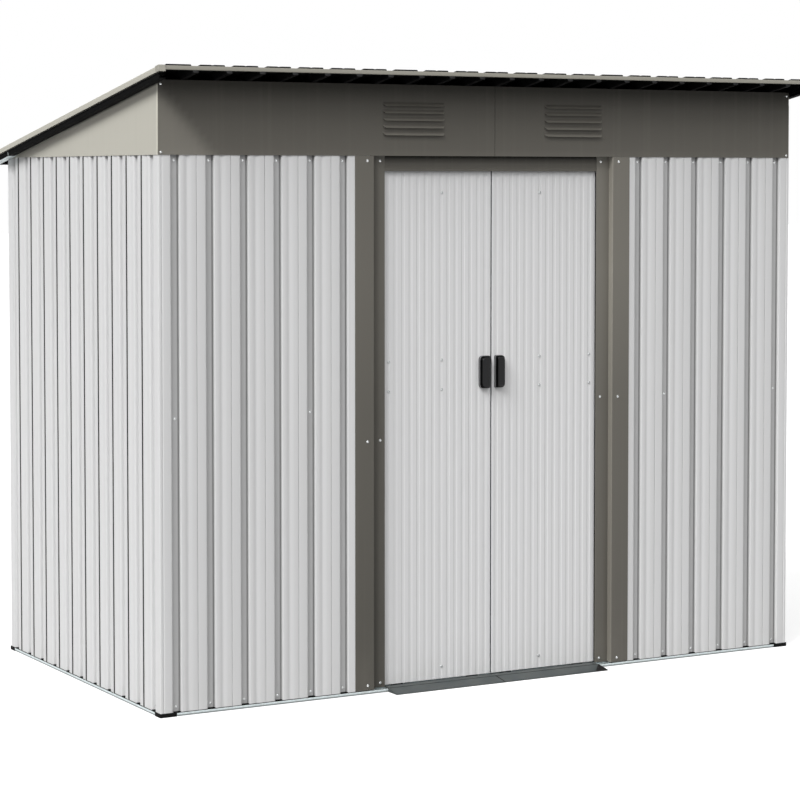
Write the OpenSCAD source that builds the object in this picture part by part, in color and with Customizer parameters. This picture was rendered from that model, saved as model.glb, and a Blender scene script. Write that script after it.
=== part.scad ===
// Lean-to metal storage shed with two sliding doors.
// Millimetres, +Z up, doors face -Y, origin on the ground under the middle of the roof.

/* [Body] */
// Width of the walls, outer face to outer face
body_w = 2320; // [1800:10:3000]
// Depth of the walls, outer face to outer face
body_d = 1240; // [1000:10:2000]
// Height of the wall sheets from the base frame to the fascia
wall_h = 1650; // [1300:10:2000]
// Height of the fascia, from its lower edge to the roof
fascia_h = 220; // [150:5:400]
// Height of the back wall above the fascia's lower edge
back_rise = 4; // [3:1:60]
// Modelled thickness of the steel sheet
sheet_t = 2; // [1:0.5:3]

/* [Corrugation] */
// Wanted distance from one wall groove to the next
groove_pitch = 112; // [80:1:160]
// Width of a wall groove at the face
groove_top = 26; // [18:1:40]
// Width of a wall groove at its floor
groove_floor = 18; // [8:1:30]
// Depth of a wall groove
groove_depth = 10; // [6:1:14]
// Centre of the first groove, from the corner of the building
first_groove = 54; // [50:1:60]

/* [Base] */
// Height of the corner feet
foot_h = 12; // [8:1:20]
// Height of the base frame's outer lip
lip_h = 10; // [6:1:10]
// Height of the base frame's inner flange
flange_h = 42; // [30:1:60]

/* [Doors] */
// Width of the doorway between the jambs
door_open_w = 784; // [600:4:1000]
// Drop from the top of the wall sheets to the top of the door leaves
door_head = 32; // [24:1:60]
// Overlap of each leaf behind its jamb
door_lap = 5; // [3:1:20]
// Gap between the two leaves when closed
door_gap = 5; // [5:1:10]
// Depth of the frame behind each leaf's sheet
door_frame_d = 20; // [14:1:30]
// Width of the leaf's frame bars
door_bar = 26; // [18:1:40]
// Height of the leaf's middle brace
door_brace = 120; // [60:2:200]
// How far each leaf slides
door_travel = 340; // [100:5:340]
// Visible depth of the header under the fascia
header_h = 47; // [30:1:80]
// Width of a jamb's outer flange
jamb_outer = 64; // [40:1:100]
// Width of a jamb's inner strip
jamb_inner = 51; // [30:1:80]
// Step from the jamb's outer flange back to its inner strip
jamb_step = 21; // [12:1:30]
// Clearance between the leaves and what they slide behind
slide_gap = 7; // [5:0.5:12]

/* [Handles] */
// Width of a handle
handle_w = 31; // [20:1:50]
// Height of a handle
handle_h = 103; // [60:1:160]
// How far a handle stands out of its leaf
handle_d = 18; // [10:1:25]
// Distance from a handle to the middle of the doorway
handle_inset = 12; // [8:1:40]
// Height of the handles' middle above the ground
handle_z = 977; // [700:1:1200]
// Size of the chamfers on a handle's outer corners
handle_chamfer = 9; // [2:1:14]

/* [Louvres] */
// Width of a louvre
louvre_w = 218; // [120:2:300]
// Distance from the middle of the fascia to a louvre's middle
louvre_x = 295; // [180:1:500]
// Number of hoods in a louvre
louvre_n = 5; // [3:1:6]
// Distance from one hood to the next
louvre_pitch = 22.5; // [20:0.5:26]
// Height of a hood
hood_h = 14; // [10:1:18]
// How far a hood stands out
hood_d = 9; // [5:1:14]
// Height of the lowest hood above the fascia's lower edge
louvre_z = 66; // [20:1:80]

/* [Roof] */
// Roof overhang at the front and the back
over_y = 90; // [40:5:150]
// Roof overhang at each side
over_x = 34; // [20:1:60]
// Depth of the roof's corrugation
roof_depth = 24; // [14:1:30]
// Wanted distance from one roof groove to the next
roof_pitch = 108; // [80:1:160]
// Width of a roof groove at the top
roof_top = 28; // [20:1:40]
// Width of a roof groove at its floor
roof_floor = 16; // [8:1:24]
// Centre of the first roof groove, from the roof's edge
roof_first = 115; // [60:1:130]
// Width of the low strip along each side edge of the roof
roof_edge = 15; // [12:1:30]
// Height of the front and back edge trims
trim_h = 13; // [8:1:18]
// Height of the edge trims' top above the floors of the grooves
trim_top = 21.5; // [14:0.5:24]
// Width of the side trims' top flange
trim_flange = 13; // [8:1:28]
// Width of a corner cap along the roof's front edge
cap_w = 18; // [14:1:30]

/* [Ramp] */
// Depth of the ramp in front of the doorway
ramp_d = 55; // [30:1:120]
// Height of the ramp at the doorway
ramp_h = 12; // [8:1:12]
// Length of the ramp's end cap along the doorway
ramp_cap = 47; // [20:1:80]

/* [Rails] */
// Depth of the rails inside the walls
rail_d = 12; // [8:1:20]
// Height of the rails inside the walls
rail_h = 30; // [20:1:50]
// Height of the middle rails' centre above the ground
mid_rail_z = 884; // [600:1:1200]

/* [Hidden] */
$fn = 32;

// Gap left between pieces that rest on each other
seat = 0.3;
// Running clearance of the sliders in their tracks
run_gap = 5;

// Plan positions
half_w = body_w / 2;
half_d = body_d / 2;
door_half = door_open_w / 2;
jamb_edge = door_half + jamb_inner;
jamb_end = jamb_edge + jamb_outer;
leaf_end = door_half + door_lap;
leaf_start = door_gap / 2;

// Heights
sheet_z = sheet_t + seat;
fascia_z = foot_h + wall_h;
roof_z = fascia_z + fascia_h;
back_z = fascia_z + back_rise;
front_sheet_top = fascia_z + 18;
side_sheet_top = back_z - seat;
post_top = roof_z - 45;
top_rail_z = fascia_z - rail_h - 2;
header_top = fascia_z + 2 - seat;
leaf_z = 16;
door_h = fascia_z - door_head - leaf_z;

// Depths behind the front wall's outer face
back_of_groove = groove_depth + sheet_t;
strip_back = jamb_step;
header_back = strip_back + sheet_t;
leaf_face = header_back + slide_gap;
frame_back = leaf_face + sheet_t + door_frame_d;
slider_mid = leaf_face + sheet_t + door_frame_d / 2 - 1;

// Corner pieces
post_leg = 38;
lap_start = 22;
lap_depth = sheet_t + seat;
foot_front = 51;
foot_side = 37;
foot_skin = 2.4;

// Roof slope
roof_angle = atan((roof_z - back_z) / body_d);
side_trim_low = 4.5;
cap_skin = 1;
cap_low = side_trim_low - cap_skin;
cap_high = trim_top + seat + cap_skin;
cap_reach = sheet_t + 2 * seat + cap_skin;
cap_len = 22;
roof_half = half_w + over_x;
roof_len = (body_d + 2 * over_y - (cap_low + cap_high) * sin(roof_angle)) / cos(roof_angle);
roof_n = 2 * round((roof_half - roof_first) / roof_pitch) + 1;
roof_step = 2 * (roof_half - roof_first) / (roof_n - 1);
roof_split = floor(roof_n / 6) * roof_step + roof_step / 2;

// Tracks
ledge = 2;
track_half = min(leaf_end + door_travel + 25, half_w - 60);
stem_t = 6;
shoe_t = 10;
track_z = leaf_z + door_h + 10;
track_inner = stem_t / 2 + run_gap;
shoe_half = track_inner + 3.5;
track_half_d = shoe_half + run_gap;
guide_w = 40;

// Height of the roof sheets' lowest plane above the ground at depth y
function roof_low(y) = roof_z - (y + half_d) * tan(roof_angle);

// Number of grooves that fit a run, and their centres
function groove_count(run, pitch) = max(1, round(run / pitch));
function spread(a, b, n) = [for (i = [0:n]) a + (b - a) * i / n];

// How far a bend's corner moves when a sheet line is offset by t
function bend_shift(top, bottom, depth, t) = t * tan(atan(2 * depth / (top - bottom)) / 2);

// One line of a corrugated sheet: off is the depth of the line behind the outer face
function groove_line(cs, top, bottom, depth, off) = [
    for (c = cs, p = let (k = bend_shift(top, bottom, depth, off)) [
        [c - top / 2 - k, off], [c - bottom / 2 - k, depth + off],
        [c + bottom / 2 + k, depth + off], [c + top / 2 + k, off]
    ]) p
];

function reversed(v) = [for (i = [len(v) - 1:-1:0]) v[i]];

// Where the side of a groove passes the depth of a lap joint
function lap_at(c, side) = c + side * (groove_top / 2
    - (groove_top - groove_floor) / 2 * lap_depth / groove_depth);

// Drop the corner of the first or last groove that the lap replaces
function inner_points(v, cut_first, cut_last) = [
    for (i = [(cut_first ? 1 : 0):len(v) - (cut_last ? 2 : 1)]) v[i]
];

// One line of a wall sheet from s0 to s1, with a lap under a corner post where asked
function wall_line(cs, s0, s1, lap0, lap1, off) = let (
    body = groove_line(cs, groove_top, groove_floor, groove_depth, off),
    k = bend_shift(groove_top, groove_floor, groove_depth, off),
    last = cs[len(cs) - 1]
) concat(
    lap0 ? [[s0, lap_depth + off], [lap_at(cs[0], -1) - k, lap_depth + off]] : [[s0, off]],
    inner_points(body, lap0, lap1),
    lap1 ? [[lap_at(last, 1) + k, lap_depth + off], [s1, lap_depth + off]] : [[s1, off]]
);

// A corrugated wall sheet: x runs along the wall, y goes inwards
module wall_sheet(cs, s0, s1, lap0, lap1, h) {
    outer = wall_line(cs, s0, s1, lap0, lap1, 0);
    inner = wall_line(cs, s0, s1, lap0, lap1, sheet_t);
    linear_extrude(h) polygon(concat(outer, reversed(inner)));
}

// Places its children in the frame of one wall: x along the wall, y inwards
module on_front() translate([-half_w, -half_d, 0]) children();
module on_back() translate([half_w, half_d, 0]) rotate(180) children();
module on_left() translate([-half_w, half_d, 0]) rotate(-90) children();
module on_right() translate([half_w, -half_d, 0]) rotate(90) children();

// Mirrors its children to the right-hand side when side is 1
module to_side(side) mirror([side > 0 ? 1 : 0, 0, 0]) children();

// Tilted frame of the roof: x along the ridge, y down the slope, z square to the sheets
module on_roof() {
    translate([0, -half_d - over_y, roof_low(-half_d - over_y)])
        rotate([-roof_angle, 0, 0])
            children();
}

// A block given by its lowest and highest corners
module block(lo, hi) translate(lo) cube(hi - lo);

// ---- Base frame ----

module base_channel(len, lip0, lip1, flange0) {
    // Floor under the wall sheets
    block([0, -seat, 0], [len, back_of_groove + seat + sheet_t, sheet_t]);
    // Outer lip between the corner feet
    block([lip0, -seat - sheet_t, 0], [lip1, -seat, lip_h]);
    // Inner flange that the sheets are screwed to
    block([flange0, back_of_groove + seat, 0],
        [len - flange0, back_of_groove + seat + sheet_t, flange_h]);
}

module base_rail_front() {
    color([0.78, 0.82, 0.82]) difference() {
        on_front() base_channel(body_w, foot_front + seat, body_w - foot_front - seat,
            sheet_t + seat);
        // The flange is cut down across the doorway
        block([-jamb_end - 1, -half_d + 1, lip_h], [jamb_end + 1, -half_d + 60, flange_h + 1]);
    }
}

module base_rail_back() {
    color([0.78, 0.82, 0.82])
        on_back() base_channel(body_w, foot_front + seat, body_w - foot_front - seat,
            sheet_t + seat);
}

module side_base_rail() {
    start = back_of_groove + sheet_t + 2 * seat;
    translate([start, 0, 0])
        base_channel(body_d - 2 * start, foot_side - start + seat,
            body_d - foot_side - start - seat, 0);
}

module base_rail_left() color([0.78, 0.82, 0.82]) on_left() side_base_rail();
module base_rail_right() color([0.78, 0.82, 0.82]) on_right() side_base_rail();

module corner_foot() {
    edge = 0.5;
    // Front and side skins of the foot, outside the base frame
    block([-foot_skin - edge, -foot_skin - edge, 0], [foot_front, -edge, foot_h]);
    block([-foot_skin - edge, -foot_skin - edge, 0], [-edge, foot_side, foot_h]);
}

module corner_feet() {
    color([0.06, 0.06, 0.06])
        for (x = [0, 1], y = [0, 1])
            mirror([x, 0, 0]) mirror([0, y, 0]) on_front() corner_foot();
}

// ---- Walls ----

module corner_post(top) {
    on_front() {
        block([0, 0, sheet_z], [post_leg, sheet_t, top]);
        block([0, 0, sheet_z], [sheet_t, post_leg, top]);
    }
}

module corner_post_front_left() color([0.84, 0.85, 0.86]) corner_post(post_top);
module corner_post_front_right() color([0.84, 0.85, 0.86]) mirror([1, 0, 0]) corner_post(post_top);

module corner_posts_back() {
    color([0.84, 0.85, 0.86]) for (x = [0, 1])
        mirror([x, 0, 0]) mirror([0, 1, 0]) corner_post(side_sheet_top);
}

// Grooves between the corner and the jamb's flange
front_last = half_w - jamb_end - 38;
front_grooves = spread(first_groove, front_last, groove_count(front_last - first_groove, groove_pitch));

module front_wall() {
    color([0.84, 0.85, 0.86]) on_front() translate([0, 0, sheet_z])
        wall_sheet(front_grooves, lap_start, half_w - jamb_end + 25, true, false,
            front_sheet_top - sheet_z);
}

module front_wall_left() front_wall();
module front_wall_right() mirror([1, 0, 0]) front_wall();

side_run = body_d - 2 * first_groove;
side_grooves = spread(first_groove, body_d - first_groove, groove_count(side_run, groove_pitch));

module side_wall() {
    color([0.88, 0.89, 0.9]) translate([0, 0, sheet_z])
        wall_sheet(side_grooves, lap_start, body_d - lap_start, true, true, side_sheet_top - sheet_z);
}

module left_wall() on_left() side_wall();
module right_wall() on_right() side_wall();

// The back wall is two sheets that meet at the middle of a flat
back_half_n = groove_count((half_w - first_groove) - groove_pitch / 2, groove_pitch);
back_step = (half_w - first_groove) / (back_half_n + 0.5);
back_grooves = [for (i = [0:back_half_n]) first_groove + i * back_step];

module back_wall() {
    color([0.84, 0.85, 0.86]) mirror([0, 1, 0]) on_front() translate([0, 0, sheet_z])
        wall_sheet(back_grooves, lap_start, half_w - seat / 2, true, false,
            side_sheet_top - sheet_z);
}

module back_wall_left() back_wall();
module back_wall_right() mirror([1, 0, 0]) back_wall();

// ---- Rails inside the walls ----

rail_in = back_of_groove + seat;
front_rail_d = max(rail_d, header_back + 1 + seat - rail_in);

module channel_rail(len, h, d = rail_d) {
    // C channel with its open side towards the room
    difference() {
        block([0, rail_in, 0], [len, rail_in + d, h]);
        block([-1, rail_in + sheet_t, sheet_t], [len + 1, rail_in + d + 1, h - sheet_t]);
    }
}

module mid_rails() {
    end_in = rail_in + rail_d + seat;
    color([0.72, 0.74, 0.75]) translate([0, 0, mid_rail_z - rail_h / 2]) {
        on_left() translate([rail_in, 0, 0]) channel_rail(body_d - 2 * rail_in, rail_h);
        on_right() translate([rail_in, 0, 0]) channel_rail(body_d - 2 * rail_in, rail_h);
        on_back() translate([end_in, 0, 0]) channel_rail(body_w - 2 * end_in, rail_h);
        for (side = [-1, 1])
            to_side(side) on_front() translate([end_in, 0, 0])
                channel_rail(half_w - jamb_end + 20 - end_in, rail_h);
    }
}

module top_rails() {
    end_in = rail_in + rail_d + seat;
    color([0.72, 0.74, 0.75]) {
        translate([0, 0, top_rail_z]) {
            on_left() translate([rail_in, 0, 0]) channel_rail(body_d - 2 * rail_in, rail_h);
            on_right() translate([rail_in, 0, 0]) channel_rail(body_d - 2 * rail_in, rail_h);
            on_back() translate([end_in, 0, 0]) channel_rail(body_w - 2 * end_in, rail_h);
        }
        // The front rail passes over the doorway, behind the fascia
        translate([0, 0, fascia_z + 2]) on_front() translate([post_leg, 0, 0])
            channel_rail(body_w - 2 * post_leg, rail_h + 10, front_rail_d);
    }
}

// ---- Doorway ----

module jamb() {
    color([0.38, 0.37, 0.34]) translate([0, -half_d, lip_h + 0.5])
        linear_extrude(fascia_z - seat - lip_h - 0.5)
            polygon([
                [-jamb_end, -sheet_t], [-jamb_edge + sheet_t, -sheet_t],
                [-jamb_edge + sheet_t, strip_back - sheet_t],
                [-door_half, strip_back - sheet_t], [-door_half, strip_back],
                [-jamb_edge, strip_back], [-jamb_edge, 0], [-jamb_end, 0]
            ]);
}

module jamb_left() jamb();
module jamb_right() mirror([1, 0, 0]) jamb();

module door_header() {
    color([0.38, 0.37, 0.34])
        block([-jamb_edge, -half_d + strip_back, fascia_z - header_h],
            [jamb_edge, -half_d + header_back, header_top]);
}

module door_track_top() {
    z1 = fascia_z + 2 - seat;
    color([0.72, 0.74, 0.75]) translate([0, -half_d + slider_mid, 0]) difference() {
        block([-track_half, -slider_mid + header_back + seat, track_z],
            [track_half, track_half_d + ledge, z1]);
        block([-track_half - 1, -track_half_d, track_z + ledge],
            [track_half + 1, track_half_d, z1 - ledge]);
        block([-track_half - 1, -track_inner, track_z - 1],
            [track_half + 1, track_inner, track_z + ledge + 1]);
    }
}

module door_track_bottom() {
    front = back_of_groove + sheet_t + 2 * seat;
    h = leaf_z - run_gap;
    color([0.72, 0.74, 0.75]) translate([0, -half_d, 0]) {
        block([-track_half, front, 0], [track_half, slider_mid + track_inner + ledge, ledge]);
        block([-track_half, slider_mid - track_inner - ledge, 0],
            [track_half, slider_mid - track_inner, h]);
        block([-track_half, slider_mid + track_inner, 0],
            [track_half, slider_mid + track_inner + ledge, h]);
    }
}

// ---- Fascia, gables ----

module louvre_slots() {
    for (i = [0:louvre_n - 1])
        let (z = fascia_z + louvre_z + i * louvre_pitch)
            block([-louvre_x - louvre_w / 2 + 4, -half_d - sheet_t - 1, z + 1],
                [-louvre_x + louvre_w / 2 - 4, -half_d + 1, z + 8]);
}

module hood() {
    // Sloping plate
    rotate([90, 0, 90]) linear_extrude(louvre_w)
        polygon([[0, hood_h], [-hood_d, 2], [-hood_d, 0], [-hood_d + 1.5, 0],
            [-hood_d + 1.5, 1.5], [0, hood_h - 2.5]]);
    // Cheeks that close its ends
    for (x = [0, louvre_w - 1.5])
        translate([x, 0, 0]) rotate([90, 0, 90]) linear_extrude(1.5)
            polygon([[0, hood_h], [-hood_d, 2], [-hood_d, 0], [0, 0]]);
}

module fascia() {
    color([0.38, 0.37, 0.34]) {
        difference() {
            block([-half_w - sheet_t, -half_d - sheet_t, fascia_z],
                [-seat / 2, -half_d, roof_z - seat]);
            louvre_slots();
        }
        // Hoods are pressed out of the fascia sheet
        for (i = [0:louvre_n - 1])
            translate([-louvre_x - louvre_w / 2, -half_d - sheet_t,
                fascia_z + louvre_z + i * louvre_pitch])
                hood();
    }
}

module fascia_left() fascia();
module fascia_right() mirror([1, 0, 0]) fascia();

module gable() {
    color([0.7, 0.69, 0.64]) translate([-half_w - sheet_t, 0, 0])
        rotate([90, 0, 90]) linear_extrude(sheet_t)
            polygon([
                [-half_d + seat, fascia_z], [half_d, fascia_z],
                [half_d, roof_low(half_d) - seat], [-half_d + seat, roof_low(-half_d) - 2 * seat]
            ]);
}

module gable_left() gable();
module gable_right() mirror([1, 0, 0]) gable();

// ---- Roof ----

module roof_beam(y0, y1, bottom) {
    translate([-half_w + sheet_t + seat, 0, 0]) rotate([90, 0, 90])
        linear_extrude(body_w - 2 * (sheet_t + seat))
            polygon([[y0, bottom], [y1, bottom],
                [y1, roof_low(y1) - seat], [y0, roof_low(y0) - seat]]);
}

module roof_beams() {
    depth = 30;
    color([0.72, 0.74, 0.75]) {
        roof_beam(-half_d + sheet_t + seat, -half_d + depth, post_top + seat);
        roof_beam(-depth / 2, depth / 2, roof_low(depth / 2) - 34);
    }
}

module roof_edge_rail() {
    // Channel under the sheets along one side of the roof
    difference() {
        block([-roof_half + 2, 12, -14], [-roof_half + 24, roof_len - 12, -seat]);
        block([-roof_half + 2 + sheet_t, 11, -14 + sheet_t],
            [-roof_half + 25, roof_len - 11, -seat - sheet_t]);
    }
}

module roof_edge_rails() {
    color([0.72, 0.74, 0.75]) on_roof() {
        for (side = [-1, 1])
            to_side(side) roof_edge_rail();
        // Channel along the back edge, under the floors of the grooves
        difference() {
            block([-roof_half + 24 + seat, roof_len - 28, -14],
                [roof_half - 24 - seat, roof_len - 8, -seat]);
            block([-roof_half, roof_len - 29, -14 + sheet_t],
                [roof_half, roof_len - 8 - sheet_t, -seat - sheet_t]);
        }
    }
}

// One line of a roof sheet, off below its upper face; a sheet on the roof's side ends low
function roof_line(cs, x0, x1, off) = let (
    k = bend_shift(roof_top, roof_floor, roof_depth, off),
    rise = (roof_top - roof_floor) / 2,
    low = roof_depth + off
) concat(
    x0 <= -roof_half ? [[x0, low], [x0 + roof_edge + k, low], [x0 + roof_edge + rise + k, off]]
        : [[x0, off]],
    groove_line(cs, roof_top, roof_floor, roof_depth, off),
    x1 >= roof_half ? [[x1 - roof_edge - rise - k, off], [x1 - roof_edge - k, low], [x1, low]]
        : [[x1, off]]
);

// Corrugated roof sheet from x0 to x1
module roof_sheet(x0, x1) {
    margin = roof_top / 2 + 2;
    cs = [for (i = [0:roof_n - 1]) let (c = -roof_half + roof_first + i * roof_step)
        if (c > x0 + margin && c < x1 - margin) c];
    upper = roof_line(cs, x0, x1, 0);
    lower = roof_line(cs, x0, x1, sheet_t);
    color([0.08, 0.08, 0.09]) on_roof() translate([0, 0, roof_depth + sheet_t]) rotate([-90, 0, 0])
        linear_extrude(roof_len) polygon(concat(upper, reversed(lower)));
}

module roof_panel_left() roof_sheet(-roof_half, -roof_split - seat / 2);
module roof_panel_centre() roof_sheet(-roof_split + seat / 2, roof_split - seat / 2);
module roof_panel_right() roof_sheet(roof_split + seat / 2, roof_half);

module roof_trim_strip() {
    color([0.6, 0.59, 0.54])
        block([-roof_half + trim_flange + 1, -seat - sheet_t, trim_top - trim_h],
            [roof_half - trim_flange - 1, -seat, trim_top]);
}

module roof_trim_front() on_roof() roof_trim_strip();
module roof_trim_back() on_roof() translate([0, roof_len, 0]) mirror([0, 1, 0]) roof_trim_strip();

module roof_trim_side() {
    outer = -roof_half - seat - sheet_t;
    y0 = -seat - sheet_t;
    y1 = roof_len + seat + sheet_t;
    color([0.7, 0.69, 0.64]) on_roof() {
        block([outer, y0, side_trim_low], [outer + sheet_t, y1, trim_top]);
        block([outer, y0, trim_top - sheet_t], [-roof_half + trim_flange, y1, trim_top]);
        // Inner lip that stands on the sheet's low edge
        block([-roof_half + trim_flange - sheet_t, 0, sheet_t + seat],
            [-roof_half + trim_flange, roof_len, trim_top]);
    }
}

module roof_trim_left() roof_trim_side();
module roof_trim_right() mirror([1, 0, 0]) roof_trim_side();

module roof_corner_cap() {
    // Thin cover over the corner where the trims meet
    difference() {
        block([-roof_half - cap_reach, -cap_reach, cap_low],
            [-roof_half + cap_w, cap_len, cap_high]);
        block([-roof_half - cap_reach + cap_skin, -cap_reach + cap_skin, cap_low - 1],
            [-roof_half + cap_w + 1, cap_len + 1, cap_high - cap_skin]);
    }
}

module roof_corner_caps() {
    color([0.62, 0.61, 0.56]) on_roof()
        for (side = [-1, 1]) to_side(side) {
            roof_corner_cap();
            translate([0, roof_len, 0]) mirror([0, 1, 0]) roof_corner_cap();
        }
}

// ---- Doors ----

module door_panel() {
    color([0.83, 0.84, 0.85])
        block([-leaf_end, -half_d + leaf_face, leaf_z],
            [-leaf_start, -half_d + leaf_face + sheet_t, leaf_z + door_h]);
}

module door_frame() {
    y0 = -half_d + leaf_face + sheet_t + seat;
    y1 = -half_d + frame_back;
    z1 = leaf_z + door_h;
    x0 = -leaf_end + door_bar + seat;
    x1 = -leaf_start - door_bar - seat;
    color([0.76, 0.78, 0.79]) {
        // Stiles
        block([-leaf_end, y0, leaf_z], [x0 - seat, y1, z1]);
        block([x1 + seat, y0, leaf_z], [-leaf_start, y1, z1]);
        // Bottom rail, middle brace behind the handle, top rail
        block([x0, y0, leaf_z], [x1, y1, leaf_z + door_bar]);
        block([x0, y0, handle_z - door_brace / 2], [x1, y1, handle_z + door_brace / 2]);
        block([x0, y0, z1 - door_bar], [x1, y1, z1]);
    }
}

module door_handle() {
    x1 = -handle_inset;
    x0 = x1 - handle_w;
    z0 = handle_z - handle_h / 2;
    z1 = handle_z + handle_h / 2;
    c = handle_chamfer;
    color([0.05, 0.05, 0.05]) translate([0, -half_d + leaf_face - seat, 0])
        rotate([90, 0, 0]) linear_extrude(handle_d)
            polygon([[x0, z0 + c], [x0 + c, z0], [x1, z0], [x1, z1], [x0 + c, z1], [x0, z1 - c]]);
}

module door_slider(x) {
    z1 = leaf_z + door_h;
    shoe_z = track_z + ledge + seat;
    translate([x, -half_d + slider_mid, 0]) {
        // Stem and shoe that hang in the top track
        block([-guide_w / 2, -stem_t / 2, z1 + seat], [guide_w / 2, stem_t / 2, shoe_z + 1]);
        block([-guide_w / 2, -shoe_half, shoe_z], [guide_w / 2, shoe_half, shoe_z + shoe_t]);
        // Guide that runs in the bottom track
        block([-guide_w / 2, -stem_t / 2, ledge + run_gap],
            [guide_w / 2, stem_t / 2, leaf_z - seat]);
    }
}

module door_sliders() {
    inset = 60;
    color([0.1, 0.1, 0.1])
        for (x = [-leaf_end + inset, -leaf_start - inset])
            door_slider(x);
}

module door_left_panel() door_panel();
module door_left_frame() door_frame();
module door_left_handle() door_handle();
module door_left_sliders() door_sliders();
module door_right_panel() mirror([1, 0, 0]) door_panel();
module door_right_frame() mirror([1, 0, 0]) door_frame();
module door_right_handle() mirror([1, 0, 0]) door_handle();
module door_right_sliders() mirror([1, 0, 0]) door_sliders();

// ---- Ramp ----

ramp_back = -half_d - seat - sheet_t - seat;
ramp_nose = 3;

module ramp_wedge(x0, x1) {
    translate([x0, ramp_back, 0]) rotate([90, 0, 90]) linear_extrude(x1 - x0)
        polygon([[0, 0], [0, ramp_h], [-ramp_d, ramp_nose], [-ramp_d, 0]]);
}

// Mitred corner that the end cap fills
module ramp_corner(grow) {
    translate([0, 0, -1]) linear_extrude(ramp_h + 2)
        polygon([[door_half - grow, ramp_back + 1], [door_half - ramp_cap - grow, ramp_back - ramp_d - 1],
            [door_half + 1, ramp_back - ramp_d - 1], [door_half + 1, ramp_back + 1]]);
}

module ramp() {
    color([0.36, 0.39, 0.4]) {
        ramp_wedge(-door_half, -seat / 2);
        difference() {
            ramp_wedge(seat / 2, door_half);
            ramp_corner(seat);
        }
    }
}

module ramp_end_cap() {
    color([0.04, 0.04, 0.04]) intersection() {
        ramp_wedge(seat / 2, door_half);
        ramp_corner(0);
    }
}

base_rail_front();
base_rail_back();
base_rail_left();
base_rail_right();
corner_feet();
corner_post_front_left();
corner_post_front_right();
corner_posts_back();
front_wall_left();
front_wall_right();
left_wall();
right_wall();
back_wall_left();
back_wall_right();
mid_rails();
top_rails();
jamb_left();
jamb_right();
door_header();
door_track_top();
door_track_bottom();
fascia_left();
fascia_right();
gable_left();
gable_right();
roof_beams();
roof_edge_rails();
roof_panel_left();
roof_panel_centre();
roof_panel_right();
roof_trim_front();
roof_trim_back();
roof_trim_left();
roof_trim_right();
roof_corner_caps();
door_left_panel();
door_left_frame();
door_left_handle();
door_left_sliders();
door_right_panel();
door_right_frame();
door_right_handle();
door_right_sliders();
ramp();
ramp_end_cap();
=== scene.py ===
"""Looks for a lean-to metal storage shed: folded sheets, trims, sliding doors, finishes and studio.

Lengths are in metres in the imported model's own frame: +X runs along the doorway side, +Y goes
from the doors to the back wall and +Z is up.
"""

import logging
import math
from dataclasses import dataclass
from enum import Enum

import bpy
import numpy as np
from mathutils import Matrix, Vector


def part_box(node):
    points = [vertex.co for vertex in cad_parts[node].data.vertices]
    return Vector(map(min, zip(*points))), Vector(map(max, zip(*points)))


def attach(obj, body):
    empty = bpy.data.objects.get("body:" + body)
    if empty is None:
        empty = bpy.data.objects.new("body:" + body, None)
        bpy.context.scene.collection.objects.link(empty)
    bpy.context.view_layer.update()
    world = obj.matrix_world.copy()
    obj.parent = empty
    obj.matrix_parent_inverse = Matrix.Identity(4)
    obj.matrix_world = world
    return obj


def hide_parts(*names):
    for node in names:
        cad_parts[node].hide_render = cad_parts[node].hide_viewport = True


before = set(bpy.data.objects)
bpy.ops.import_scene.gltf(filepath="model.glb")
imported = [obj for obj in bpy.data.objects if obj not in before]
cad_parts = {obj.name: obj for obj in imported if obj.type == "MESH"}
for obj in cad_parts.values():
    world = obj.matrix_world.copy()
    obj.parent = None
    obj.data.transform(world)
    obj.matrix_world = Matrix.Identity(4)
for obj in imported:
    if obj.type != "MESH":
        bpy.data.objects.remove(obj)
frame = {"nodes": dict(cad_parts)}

LOG = logging.getLogger("shed")
Array = np.ndarray
Material = bpy.types.Material
Node = bpy.types.Node
Socket = bpy.types.NodeSocket
Tree = bpy.types.NodeTree
Triple = tuple[float, float, float]


class Body(Enum):
    """The rigid bodies that a piece can ride on."""

    SHELL = "shell"
    LEFT = "door_left"
    RIGHT = "door_right"


class Side(Enum):
    """The sides of the building."""

    FRONT = "front"
    BACK = "back"
    LEFT = "left"
    RIGHT = "right"

    @property
    def short(self) -> bool:
        """Return whether the side is one of the building's short ends."""
        return self in (Side.LEFT, Side.RIGHT)


# ---------------------------------------------------------------- surfaces


@dataclass
class Surface:
    """Points and faces of one piece; each entry of faces is an array of rows of corner numbers.

    The painted shade says for each point how much darker the finish is painted: 0 is plain,
    1 is black, and below 0 is painted light.
    """

    points: Array
    faces: list[Array]
    painted_shade: Array | None = None

    def volume(self) -> float:
        """Add up the tetrahedra between the origin and each triangle.

        Returns:
            The signed volume, above 0 when the faces point outwards.
        """
        total = 0.0
        for rows in self.faces:
            first = self.points[rows[:, 0]]
            for k in range(1, rows.shape[1] - 1):
                cross = np.cross(self.points[rows[:, k]], self.points[rows[:, k + 1]])
                total += float(np.einsum("ij,ij->", first, cross)) / 6.0
        return total

    def outward(self) -> "Surface":
        """Return this closed surface with its faces turned outwards."""
        turned = [rows[:, ::-1] for rows in self.faces]
        return self if self.volume() >= 0.0 else Surface(self.points, turned, self.painted_shade)

    def mirrored(self) -> "Surface":
        """Return the mirror image in the plane x = 0, with its faces still outwards."""
        turned = [rows[:, ::-1] for rows in self.faces]
        return Surface(self.points * (-1.0, 1.0, 1.0), turned, self.painted_shade)


def joined(parts: list[Surface]) -> Surface:
    """Put several surfaces into one.

    Args:
        parts: The surfaces, in order.

    Returns:
        One surface with all their points and faces.
    """
    starts = np.cumsum([0] + [len(part.points) for part in parts])
    faces = [rows + start for part, start in zip(parts, starts) for rows in part.faces]
    painted_shade = [np.zeros(len(part.points)) if part.painted_shade is None else part.painted_shade for part in parts]
    return Surface(np.concatenate([part.points for part in parts]), faces, np.concatenate(painted_shade))


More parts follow.
